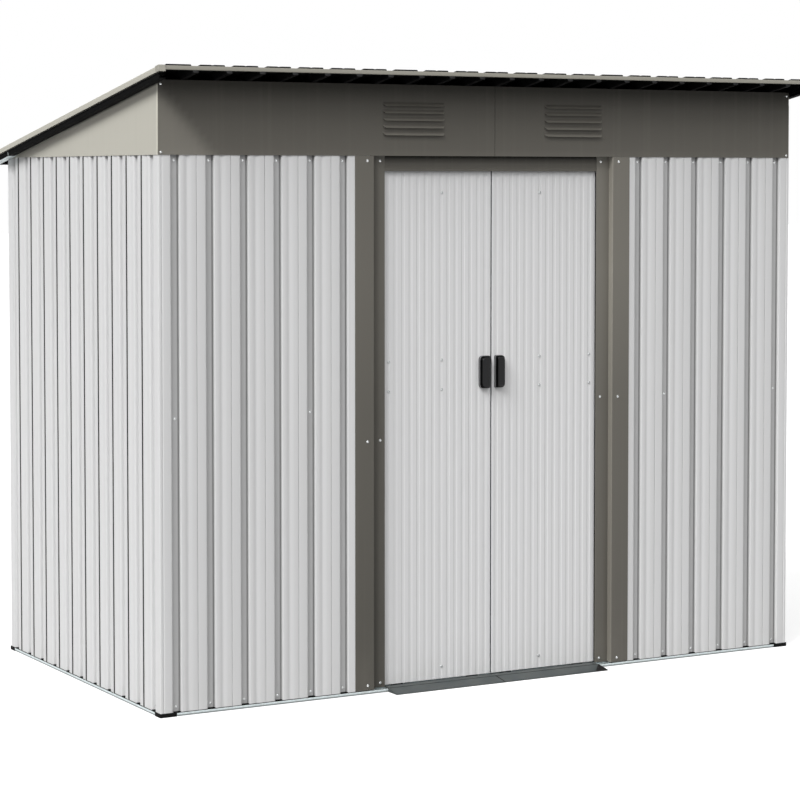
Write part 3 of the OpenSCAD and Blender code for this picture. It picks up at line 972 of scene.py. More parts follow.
@dataclass(frozen=True)
class Corrugation:
    """The rolled shape of the wall sheets: flat pans between narrow grooves.

    A groove is top wide at the face and has its floor between two places beside its centre; the
    part of the floor by its far side, as wide as foot, runs from the floor's painted shade to the
    slope's darker painted shade.
    """

    top: float = 0.026
    depth: float = 0.010
    floor: tuple[float, float] = (-0.0095, 0.0112)
    foot: float = 0.005
    bend: float = 0.0042
    corner: float = 0.0010
    lap: float = 0.0023
    gauge: float = 0.0012
    crease: float = 0.0022

    def pan_detail(self, seam: Seam, flip: bool) -> tuple[Array, Array]:
        """Return the pan's shallow crease and its seam.

        Args:
            seam: The seam's size.
            flip: Whether the detail runs the other way along the wall.

        Returns:
            Shares of the pan's width and rows of added length, depth and painted shade per point.
        """
        half, deep, painted_dark, lip = seam.width / 2, seam.depth, seam.painted_dark, seam.lip
        share = np.array([0.17, 0.28, 0.44, *[0.635] * 6, 0.78])
        extra = np.array([
            [0, 0, 0], [0, self.crease, 0], [0, 0, 0],
            [-0.0003 - half, 0, 0], [-half, 0.0002, painted_dark], [-half, deep, painted_dark],
            [half, deep, painted_dark], [half, 0.0003 - lip, painted_dark], [half + 0.0005, -lip, 0],
            [0, 0, 0]])
        if flip:
            return 1.0 - share[::-1], extra[::-1] * (-1, 1, 1)
        return share, extra

    def line(self, centres: Array, start: float, end: float, laps: tuple[bool, bool],
             seam: Seam, flip: bool) -> Array:
        """Return the sheet's outer face as a line of (along, inward, painted shade) points.

        Every groove gives five points; every pan between grooves gives its crease and seam at
        fixed shares of its width, and each lap starts or ends at the lap's depth behind a post.

        Args:
            centres: Groove centres along the wall.
            start: Where the sheet starts.
            end: Where the sheet ends.
            laps: Whether its start and its end pass under a corner post.
            seam: The size of the pans' seam.
            flip: Whether the pans' detail runs the other way.

        Returns:
            The rounded line.
        """
        left, right = (-self.floor[1], -self.floor[0]) if flip else self.floor
        grooves = repeated([
            [-self.top / 2, 0, 0], [left, self.depth, seam.groove_shade],
            [right - self.foot, self.depth, seam.groove_shade],
            [right, self.depth, seam.slope_shade], [self.top / 2, 0, 0]], centres)
        lefts = centres[:-1] + self.top / 2
        widths = np.diff(centres) - self.top
        share, extra = self.pan_detail(seam, flip)
        pans = np.repeat(extra[None], len(lefts), 0)
        pans[:, :, 0] += lefts[:, None] + widths[:, None] * share
        cells = np.concatenate([grooves[:-1], pans], 1).reshape(-1, 3)
        body = np.concatenate([cells, grooves[-1]])
        corners = np.concatenate([[[start, 0.0, 0.0]], body, [[end, 0.0, 0.0]]])
        corners[:2, 1] = self.lap * laps[0]
        corners[-2:, 1] = self.lap * laps[1]
        radius = np.where(corners[1:-1, 1] > self.depth / 2, self.corner, self.bend)
        return fillet(corners, radius)


@dataclass
class Walls:
    """Corrugated wall sheets and folded corner posts."""

    plan: Plan
    shop: Workshop
    roll: Corrugation = Corrugation()
    pitch: float = 0.112
    first: float = 0.054
    last_front: float = 0.038
    behind_jamb: float = 0.025
    lap_start: float = 0.022
    joint: float = 0.0002
    foot: float = 0.0023
    post_leg: float = 0.038
    post_gauge: float = 0.0014
    post_hem: tuple[float, float] = (0.0008, 0.0016)

    def centres(self, start: float, end: float) -> Array:
        """Spread groove centres evenly from start to end at about the wanted pitch."""
        return np.linspace(start, end, max(1, round((end - start) / self.pitch)) + 1)

    def front_centres(self) -> Array:
        """Return the groove centres of a front sheet, from the corner."""
        return self.centres(self.first, self.plan.half_w - self.plan.jamb_end - self.last_front)

    def side_centres(self) -> Array:
        """Return the groove centres of a side sheet."""
        return self.centres(self.first, 2 * self.plan.half_d - self.first)

    def back_centres(self) -> Array:
        """Spread groove centres over half the back wall, with its joint in the middle of a pan.

        Returns:
            The centres, from the corner.
        """
        run = self.plan.half_w - self.first
        count = max(1, round((run - self.pitch / 2) / self.pitch))
        return self.first + np.arange(count + 1) * run / (count + 0.5)

    def sheet(self, node: str, side: Side, centres: Array, ends: tuple[float, float],
              laps: tuple[bool, bool], seam: Seam = DEEP_SEAM, flip: bool = False) -> None:
        """Build one wall sheet in place of its node.

        Args:
            node: The node that it stands for.
            side: The wall it is on.
            centres: Groove centres along the wall.
            ends: Start and end along the wall.
            laps: Whether the start and end pass under a post.
            seam: The size of the pans' seam.
            flip: Whether the pans' detail runs the other way.
        """
        line = self.roll.line(centres, *ends, laps, seam, flip)
        heights = (self.foot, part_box(node)[1].z)
        surface = folded_sheet(line, self.roll.gauge, heights, self.plan.wall(side))
        self.shop.add(Piece(f"{node}_sheet", surface, WALL, stands_for=(node,)))

    def post(self, origin: tuple[float, float], turn: tuple[float, float], top: float) -> Surface:
        """Make a corner post: an angle whose first leg has a fine crease and whose edges turn in.

        Args:
            origin: The corner's x and y.
            turn: Direction of the post's legs along x and y, each 1 or -1.
            top: Its height.

        Returns:
            The post's surface.
        """
        leg, (back, hem) = self.post_leg, self.post_hem
        corners = np.array([
            [leg, hem], [leg - back, 0], [0.0135, 0], [0.0112, 0.0011], [0.0098, 0.0011],
            [0.0082, 0], [0, 0], [0, leg - back], [hem, leg]])
        line = fillet(corners, 0.0024)
        axes = Axes((*origin, 0), (turn[0], 0, 0), (0, turn[1], 0), (0, 0, 1))
        return folded_sheet(line, -self.post_gauge, (self.foot, top), axes)

    def build(self) -> None:
        """Build every wall sheet and post."""
        w, d, start = self.plan.half_w, self.plan.half_d, self.lap_start
        front, side, back = self.front_centres(), self.side_centres(), self.back_centres()
        end = w - self.plan.jamb_end + self.behind_jamb
        self.sheet("front_wall_left", Side.FRONT, front, (start, end), (True, False), FINE_SEAM)
        self.sheet("front_wall_right", Side.FRONT, (2 * w - front)[::-1],
                   (2 * w - end, 2 * w - start), (False, True), FINE_SEAM)
        ends = (start, 2 * d - start)
        self.sheet("left_wall", Side.LEFT, side, ends, (True, True), flip=True)
        self.sheet("right_wall", Side.RIGHT, side, ends, (True, True))
        end = w - self.joint
        self.sheet("back_wall_right", Side.BACK, back, (start, end), (True, False))
        self.sheet("back_wall_left", Side.BACK, (2 * w - back)[::-1],
                   (2 * w - end, 2 * w - start), (False, True))
        for node, ways, y in (("corner_post_front_left", (-1,), -1),
                              ("corner_post_front_right", (1,), -1),
                              ("corner_posts_back", (-1, 1), 1)):
            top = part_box(node)[1].z
            posts = joined([self.post((x * w, y * d), (-x, -y), top) for x in ways])
            self.shop.add(Piece(f"{node}_fold", posts, WALL, stands_for=(node,)))
        for node in ("mid_rails", "top_rails"):
            self.shop.dress(node, GALVANISED)


@dataclass
class BaseFrame:
    """The galvanised rails on the ground, the foam under the sheets and the black corner feet."""

    plan: Plan
    shop: Workshop
    walls: Walls
    gauge: float = 0.0011
    lip: float = 0.010
    lip_out: float = 0.0023
    lip_shade: float = 0.55
    foot_front: float = 0.051
    foot_side: float = 0.037
    foot_skin: float = 0.0024
    foot_height: float = 0.012
    foot_clearance: float = 0.0003
    flange: float = 0.042
    flange_start: tuple[float, float] = (0.0024, 0.0146)
    rail_back: float = 0.0143
    foam: tuple[float, float] = (0.0040, 0.0118)
    closure: tuple[float, float] = (0.003, 0.0135)

    def foot_of(self, side: Side) -> float:
        """Return how far the corner feet reach along a wall."""
        return self.foot_side if side.short else self.foot_front

    def lip_line(self) -> Array:
        """Draw the outer lip and floor: a rolled top over a set-back hem in painted shade.

        Returns:
            The section's (inward, height, painted shade) points.
        """
        top, out, painted_dark = self.lip, self.lip_out, self.lip_shade
        return fillet(np.array([
            [-0.0006, top - 0.0002, 0], [-0.0018, top - 0.0002, 0], [-out, top - 0.0012, 0],
            [-out, 0.0046, 0], [-0.0013, 0.0039, painted_dark], [-0.0013, 0.0006, painted_dark],
            [self.rail_back - 0.001, 0.0006, 0]]), 0.0006, 3)

    def flange_run(self, ends: tuple[float, float], top: float, axes: Axes) -> Surface:
        """Make one run of the inner flange.

        Args:
            ends: Its start and end along the wall.
            top: Its height.
            axes: The rail's section frame.

        Returns:
            The flange's surface.
        """
        back, floor = self.rail_back - 0.0002, 0.0019
        line = fillet(np.array([[0.001, floor], [back, floor], [back, top]]), 0.002, 3)
        return folded_sheet(line, self.gauge, ends, axes)

    def rail(self, side: Side) -> None:
        """Build the rail along one wall.

        Args:
            side: The wall's side.
        """
        node = f"base_rail_{side.value}"
        wall = self.plan.wall(side)
        section = Axes(wall.origin, wall.b, wall.c, wall.a)
        length = self.plan.length(side)
        foot = self.foot_of(side) + self.foot_clearance
        start = self.flange_start[side.short]
        parts = [folded_sheet(self.lip_line(), self.gauge, (foot, length - foot), section)]
        stops, tops = [start, length - start], [self.flange]
        if side is Side.FRONT:
            gap = self.plan.half_w - self.plan.jamb_end - 0.001
            stops[1:1] = [gap, length - gap]
            tops = [self.flange, self.lip, self.flange]
        for ends, top in zip(zip(stops, stops[1:]), tops):
            parts.append(self.flange_run(ends, top, section))
        self.shop.add(Piece(f"{node}_channel", joined(parts), GALVANISED, stands_for=(node,)))

    def foot_shape(self, x: int, y: int) -> Surface:
        """Make one foot: an angle round the corner of the frame.

        Args:
            x: Side of the building, 1 or -1.
            y: End of the building, 1 or -1.

        Returns:
            The foot's surface.
        """
        out = self.foot_skin + 0.0005
        corners = np.array([[self.foot_front, -out], [-out, -out], [-out, self.foot_side]])
        origin = (x * self.plan.half_w, y * self.plan.half_d, 0)
        axes = Axes(origin, (-x, 0, 0), (0, -y, 0), (0, 0, 1))
        return folded_sheet(fillet(corners, 0.002), -self.foot_skin, (0.0, self.foot_height), axes)

    def closures(self) -> Surface:
        """Make the black foam under the wall sheets, which also stands in for shade at their foot.

        A strip stands behind the lip along each wall, and a plug fills the foot of each groove: a
        ring of four corners in the groove's plan at its foot and at its top.

        Returns:
            One surface of all the strips and plugs.
        """
        w, roll = self.plan.half_w, self.walls.roll
        front, ends = self.walls.front_centres(), self.walls.side_centres()
        back = self.walls.back_centres()
        runs = {Side.FRONT: np.concatenate([front, 2 * w - front]), Side.LEFT: ends,
                Side.RIGHT: ends, Side.BACK: np.concatenate([back, 2 * w - back])}
        left, right = roll.floor
        half, deep = roll.top / 2, roll.depth - 0.0003
        plan = [[0.001 - half, 0.0004], [left + 0.0003, deep], [right - 0.0003, deep],
                [half - 0.001, 0.0004]]
        out, inner = -0.0009, -0.0001
        low, high = self.foam
        strip = np.array([[out, low], [out, high], [inner, high], [inner, low]])
        parts = []
        for side, centres in runs.items():
            axes = self.plan.wall(side)
            for ring in repeated(plan, centres):
                rings = [np.column_stack([ring, np.full(4, z)]) for z in self.closure]
                parts.append(loft(axes.place(np.array(rings))))
            foot = self.foot_of(side)
            stops = (foot, self.plan.length(side) - foot)
            rings = [np.column_stack([np.full(4, stop), strip]) for stop in stops]
            parts.append(loft(axes.place(np.array(rings))))
        return joined(parts)

    def build(self) -> None:
        """Build the rails, foam and feet."""
        for side in Side:
            self.rail(side)
        # black foam closures, also dark stand-ins for the shade at each groove's foot
        self.shop.add(Piece("sheet_closures", self.closures(), FOAM))
        feet = joined([self.foot_shape(x, y) for x in (-1, 1) for y in (-1, 1)])
        self.shop.add(Piece("corner_feet_moulded", feet, FOOT, stands_for=("corner_feet",),
                            bevel=0.0006))


@dataclass
class Doorway:
    """The stepped jambs and the header round the doorway, and the tracks inside."""

    plan: Plan
    shop: Workshop
    gauge: float = 0.0012
    step: float = 0.021
    proud: float = 0.002
    foot: float = 0.0023
    shade_heights: tuple[float, float, float] = (0.25, 0.88, 1.3)
    seal_width: float = 0.004
    seal_depth: float = 0.006
    seal_top: float = 1.612

    def jamb(self, step_shade: float, strip_shade: float, dim: tuple[float, ...]) -> Surface:
        """Make the left jamb: outer flange, step back and inner strip with turned edges.

        Args:
            step_shade: The painted shade on the step's face; below 0 it is painted light.
            strip_shade: The painted shade on the inner strip beside the step.
            dim: The painted shade at the jamb's foot, shade heights and top; below 0, painted
                light.

        Returns:
            The jamb's surface.
        """
        p, out = self.plan, -self.proud
        outer, edge, inner = -p.jamb_end, -p.jamb_edge + self.proud, -p.opening
        face = self.step - self.proud
        corners = np.array([
            [outer, -0.0003, 0], [outer, out, 0], [edge - 0.003, out, 0], [edge, out, step_shade],
            [edge, face, step_shade], [edge + 0.001, face, strip_shade], [edge + 0.030, face, 0],
            [inner, face, 0], [inner, self.step, 0]])
        axes = Axes((0, -p.half_d, 0), (1, 0, 0), (0, 1, 0), (0, 0, 1))
        low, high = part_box("jamb_left")
        heights = (low.z + self.foot, *self.shade_heights, high.z)
        return folded_sheet(fillet(corners, 0.0016), self.gauge, heights, axes, dim=dim)

    def header(self) -> Surface:
        """Make the header: a strip whose lower edge is a hem, with painted shadow under the fascia
        and painted shade on the back of the hem.

        Returns:
            The header's surface.
        """
        low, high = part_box("door_header")
        face, hem, top, foot = low.y + 0.0002, low.y - 0.0008, high.z, low.z
        corners = np.array([
            [face, top - 0.0003, 0.85], [face, top - 0.004, 0.8], [face, top - 0.012, 0.35],
            [face, top - 0.026, 0], [face, foot + 0.0095, 0], [hem, foot + 0.0088, 0],
            [hem, foot + 0.0005, 0], [low.y + 0.0012, foot + 0.0002, 0.5]])
        return folded_sheet(fillet(corners, 0.0008), self.gauge, (low.x, high.x), ALONG_X)

    def build(self) -> None:
        """Build the jambs, their seals and the header, and dress the tracks."""
        # painted shade on the left jamb; painted light on the right jamb's step face and upper part
        left = self.jamb(0.2, 0.5, (0.2, 0.2, 0.05, -0.15, -0.15))
        right = self.jamb(-0.6, 0.12, (0.0, 0.0, -0.15, -0.5, -0.5)).mirrored()
        self.shop.add(Piece("jamb_left_fold", left, TAUPE, stands_for=("jamb_left",)))
        self.shop.add(Piece("jamb_right_fold", right, TAUPE, stands_for=("jamb_right",)))
        edge = -self.plan.opening
        back = self.step - self.plan.half_d + 0.0003
        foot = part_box("jamb_left")[0].z + 0.006
        seal = block_shape((edge - self.seal_width, back, foot),
                           (edge - 0.0002, back + self.seal_depth, self.seal_top), 0.0005)
        self.shop.add(Piece("jamb_seals", joined([seal, seal.mirrored()]), FOAM))
        self.shop.add(Piece("door_header_fold", self.header(), TAUPE, stands_for=("door_header",)))
        for node in ("door_track_top", "door_track_bottom"):
            self.shop.dress(node, GALVANISED)


@dataclass
class Door:
    """One sliding leaf: a finely ribbed sheet on a frame, with a pull handle and shoes.

    Distances across the leaf are from the doorway's middle, where the leaves meet.
    """

    shop: Workshop
    side: Side
    rib_first: float = 0.0230
    rib_pitch: float = 0.0271
    rib_depth: float = 0.0009
    rib_half: tuple[float, float] = (0.0062, 0.0042)
    edge: float = 0.0025
    hem: float = 0.0019
    gauge: float = 0.0009
    grip_near: float = 0.0080
    grip_wider: float = 0.0035
    grip_lift: float = 0.0035
    grip_corners: tuple[float, ...] = (0.0045, 0.0135, 0.0135, 0.0045)

    @property
    def name(self) -> str:
        """Return how the names of the leaf's nodes start."""
        return f"door_{self.side.value}"

    @property
    def body(self) -> Body:
        """Return the body that the leaf moves with."""
        return Body(self.name)

    def sheet(self) -> Surface:
        """Make the ribbed sheet: shallow grooves at even pitch, carried up the leaf.

        Returns:
            The sheet's surface.
        """
        low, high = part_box(f"{self.name}_panel")
        start, end = self.edge, max(abs(low.x), abs(high.x))
        centres = np.arange(self.rib_first, end - 0.012, self.rib_pitch)
        (wide, narrow), deep = self.rib_half, self.rib_depth
        ribs = repeated([[-wide, 0], [-narrow, deep], [narrow, deep], [wide, 0]], centres)
        line = np.concatenate([[[start, self.hem], [start, 0]], ribs.reshape(-1, 2),
                               [[end, 0], [end, self.hem]]])
        way = -1.0 if self.side is Side.LEFT else 1.0
        axes = Axes((0, low.y, 0), (way, 0, 0), (0, 1, 0), (0, 0, 1))
        return folded_sheet(fillet(line, 0.0008, 3), self.gauge, (low.z, high.z), axes)

    def handle(self) -> Surface:
        """Make the pull handle: rings of a rounded rectangle that draw in towards its face.

        Each ring starts halfway up the side by the seam and goes round the four corners, which
        are rounded by the curve of fillet. The rings give straight sides with a band of painted
        reflection, then a wide bevel painted dark as shade, then a flat face with a little painted
        shade.

        Returns:
            The handle's surface.
        """
        low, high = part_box(f"{self.name}_handle")
        near, far = self.grip_near, max(abs(low.x), abs(high.x)) + self.grip_wider
        foot, top = low.z + self.grip_lift, high.z + self.grip_lift
        steps = np.array([
            # share of depth, inset at the sides, inset at the ends, painted shade (below 0, painted
            # reflection)
            [1.00, 0.0000, 0.0000, 0.3],
            [0.74, 0.0000, 0.0000, 0.3],
            [0.72, 0.0001, 0.0001, -8.0],
            [0.54, 0.0003, 0.0004, -6.0],
            [0.50, 0.0004, 0.0005, 0.9],
            [0.12, 0.0046, 0.0050, 0.9],
            [0.08, 0.0050, 0.0054, 0.3],
            [0.00, 0.0062, 0.0068, 0.3]])
        rings = []
        for share, sides, ends, _ in steps:
            x0, x1, z0, z1 = near + sides, far - sides, foot + ends, top - ends
            start = [x0, (z0 + z1) / 2]
            corners = np.array([start, [x0, z0], [x1, z0], [x1, z1], [x0, z1], start])
            line = fillet(corners, np.array(self.grip_corners), 5)[:-1]
            y = np.full(len(line), low.y + share * (high.y - low.y))
            rings.append(np.column_stack([line[:, 0], y, line[:, 1]]))
        surface = loft(np.array(rings), steps[:, 3])
        return surface.mirrored() if self.side is Side.LEFT else surface

    def build(self) -> None:
        """Build the sheet and handle, and dress the frame and shoes."""
        name = self.name
        self.shop.add(Piece(f"{name}_sheet", self.sheet(), DOOR, self.body, (f"{name}_panel",)))
        self.shop.add(Piece(f"{name}_pull", self.handle(), BLACK, self.body, (f"{name}_handle",),
                            bevel=0.0004))
        self.shop.dress(f"{name}_frame", DOOR_STEEL)
        self.shop.dress(f"{name}_sliders", BLACK)


@dataclass
class Fascia:
    """The fascia with its pressed louvres, and the gable panels at its ends.

    Both halves are built as the left one, and the right one is then mirrored. The seam between
    them lies left of the middle. Heights are above the eaves.
    """

    plan: Plan
    shop: Workshop
    gauge: float = 0.0007
    proud: float = 0.0009
    seam: float = -0.0066
    gap: float = 0.0012
    turned: float = 0.004
    seam_shade: float = 0.9
    left_lit: float = 0.55
    lit_span: tuple[float, float] = (0.172, 0.2)
    lit_rows: tuple[float, ...] = (0.0002, 0.022, 0.044)
    dim_rows: tuple[float, ...] = (0.178, 0.192, 0.206)
    end_columns: int = 11
    right_short: float = 0.005
    louvre_from_seam: float = -0.293
    louvre_w: float = 0.218
    louvre_z: float = 0.0635
    louvre_pitch: float = 0.0225
    louvre_n: int = 5
    slot: tuple[float, float] = (0.001, 0.008)
    hood_h: float = 0.014
    hood_d: float = 0.009
    hood_end: float = 0.085
    hood_gauge: float = 0.0009
    gable_out: float = 0.002
    gable_gauge: float = 0.0012
    gable_drops: tuple[float, ...] = (0.0, 0.004, 0.010, 0.017, 0.033, 0.052)
    gable_shadow: tuple[float, ...] = (0.93, 0.95, 0.66, -0.35, -0.02, -0.05, 0.0)
    fold_highlight: float = 0.25

    def lips(self) -> Array:
        """Return the heights of the hoods' lower lips."""
        return self.louvre_z + np.arange(self.louvre_n) * self.louvre_pitch

    def dimming(self, height: Array) -> Array:
        """Return the fascia's painted shade by height: painted shadow, darkest under the roof."""
        return np.interp(height, [0.0, 0.02, 0.10, 0.15, 0.21], [-0.08, 0.02, 0.08, 0.18, 0.57])

    def plate(self, seam: float, lit: float, short: float) -> Surface:
        """Make the left half's sheet, a grid of rectangles with its inner end turned back.

        The grid leaves out one cell for each slot. Its painted shade is the dimming by height h
        less lit · clip(1/2 + 4·(1 - a/A - h/H), 0, 1), a patch of painted light at the outer lower
        corner whose distance a from the end and height h run over the lit span (A, H).

        Args:
            seam: Where the sheet's inner end is.
            lit: How much painted light the sheet's outer lower corner gets.
            short: How far its outer end stops short.

        Returns:
            An open surface that a thickness is given to.
        """
        p = self.plan
        middle = seam + self.louvre_from_seam
        reach = self.louvre_w / 2 - 0.004
        end = short - p.half_w - 0.0008
        xs = np.concatenate([end + np.linspace(0, self.lit_span[1], self.end_columns),
                             [middle - reach, middle + reach, seam, seam]])
        ys = np.full(len(xs), -p.half_d - self.proud)
        ys[-1] += self.turned
        slots = (self.lips()[:, None] + self.slot).reshape(-1)
        top = p.ridge - p.eaves - 0.0006
        zs = np.concatenate([self.lit_rows, slots, self.dim_rows, [top]])
        x, z = np.meshgrid(xs, zs, indexing="ij")
        points = np.stack([x, np.broadcast_to(ys[:, None], x.shape), z + p.eaves], -1)
        corner = 0.5 + 4 * (1 - (x - end) / self.lit_span[0] - z / self.lit_span[1])
        painted_shade = self.dimming(z) - lit * np.clip(corner, 0, 1)
        # painted shade in the seam's gap on the turned end
        painted_shade[-1] = self.seam_shade
        quads = grid_rows(len(xs), len(zs), False)
        column, row = np.divmod(np.arange(len(quads)), len(zs) - 1)
        row -= len(self.lit_rows)
        slot = (column == self.end_columns) & (row % 2 == 0) & (0 <= row) & (row < len(slots))
        return Surface(points.reshape(-1, 3), [quads[~slot]], painted_shade.reshape(-1))

    def hoods(self, seam: float) -> Surface:
        """Make the pressed hoods of the left half.

        Over u from -1 to 1 across and v from 0 to 1 downwards a hood's point stands out by
        depth · v^1.5 · e(u), where e is 1 along the middle and falls to 0 at the ends along a
        quarter circle, and its height is lip + h · (1 - v · (0.35 + 0.65 e)).

        Args:
            seam: Where the sheet's inner end is.

        Returns:
            An open surface that a thickness is given to.
        """
        rounded = -1 + self.hood_end * (1 - np.cos(np.linspace(0, math.pi / 2, 7)))
        u = np.concatenate([rounded, np.linspace(-0.9, 0.9, 5), -rounded[::-1]])
        v = np.linspace(0, 1, 9)
        away = np.clip((1 - np.abs(u)) / self.hood_end, 0, 1)
        end = np.sqrt(1 - (1 - away) ** 2)
        out = self.hood_d * v[:, None] ** 1.5 * end[None]
        fall = self.hood_h * (1 - v[:, None] * (0.35 + 0.65 * end[None]))
        along = np.broadcast_to(seam + self.louvre_from_seam + u * self.louvre_w / 2, out.shape)
        face = -self.plan.half_d - self.proud
        one = np.stack([along, face - out, fall], -1).reshape(-1, 3)
        shift = np.zeros((self.louvre_n, 1, 3))
        shift[:, 0, 2] = self.plan.eaves + self.lips()
        points = (one[None] + shift).reshape(-1, 3)
        rows = grid_rows(len(v), len(u), False)[:, ::-1]
        starts = (np.arange(self.louvre_n) * len(one))[:, None, None]
        faces = (rows[None] + starts).reshape(-1, 4)
        # painted shade dark at each hood's top, a painted highlight on its lower face, under the
        # fascia's painted shadow
        shade = np.repeat(np.interp(v, [0.0, 0.45, 0.8, 1.0], [0.35, 0.1, -0.35, -0.35]), len(u))
        painted_shade = 1 - (1 - shade)[None] * (1 - self.dimming(self.lips()))[:, None]
        return Surface(points, [faces], painted_shade.reshape(-1))

    def gable(self, short: float) -> Surface:
        """Make the left gable: a plate under the slope with a painted highlight on its front fold
        and a painted shadow along its top.

        Its rows of points lie below the slope by each drop times min(1, height / 60 mm), so that
        they close up where the gable runs out; the last row is the lower edge.

        Args:
            short: How far inwards it stands.

        Returns:
            An open surface that a thickness is given to.
        """
        p = self.plan
        front = -p.half_d - self.proud
        y = np.array([front, front + 0.0085, front + 0.0100, 0.0, p.half_d])
        top = p.roof_low(y) - 0.0006
        squeeze = np.minimum(1.0, (top - p.eaves) / 0.06)
        z = np.concatenate([top[None] - np.array(self.gable_drops)[:, None] * squeeze[None],
                            np.full((1, len(y)), p.eaves)])
        x = np.full(z.shape, short - p.half_w - self.gable_out)
        points = np.stack([x, np.broadcast_to(y, z.shape), z], -1).reshape(-1, 3)
        # painted shadow under the roof's edge with a band of painted light below it, and a painted
        # highlight on the front fold
        shade = np.array(self.gable_shadow)[:, None]
        fold = np.where(y < front + 0.009, self.fold_highlight, 0.0)[None]
        painted_shade = (shade - fold * (1 - shade)).reshape(-1)
        return Surface(points, [grid_rows(len(z), len(y), False)], painted_shade)

    def build(self) -> None:
        """Build both halves of the fascia and both gables."""
        for side, seam, lit, short in ((Side.LEFT, self.seam, self.left_lit, 0.0),
                                       (Side.RIGHT, -self.seam, 0.0, self.right_short)):
            end = seam - self.gap
            made = [self.plate(end, lit, short), self.hoods(end), self.gable(short)]
            if side is Side.RIGHT:
                made = [surface.mirrored() for surface in made]
            (plate, hoods, gable), name = made, side.value
            self.shop.add(Piece(f"fascia_{name}_sheet", plate, TAUPE,
                                stands_for=(f"fascia_{name}",), wall=self.gauge))
            self.shop.add(Piece(f"louvre_{name}_hoods", hoods, TAUPE, wall=self.hood_gauge))
            self.shop.add(Piece(f"gable_{name}_sheet", gable, STONE,
                                stands_for=(f"gable_{name}",), wall=self.gable_gauge))


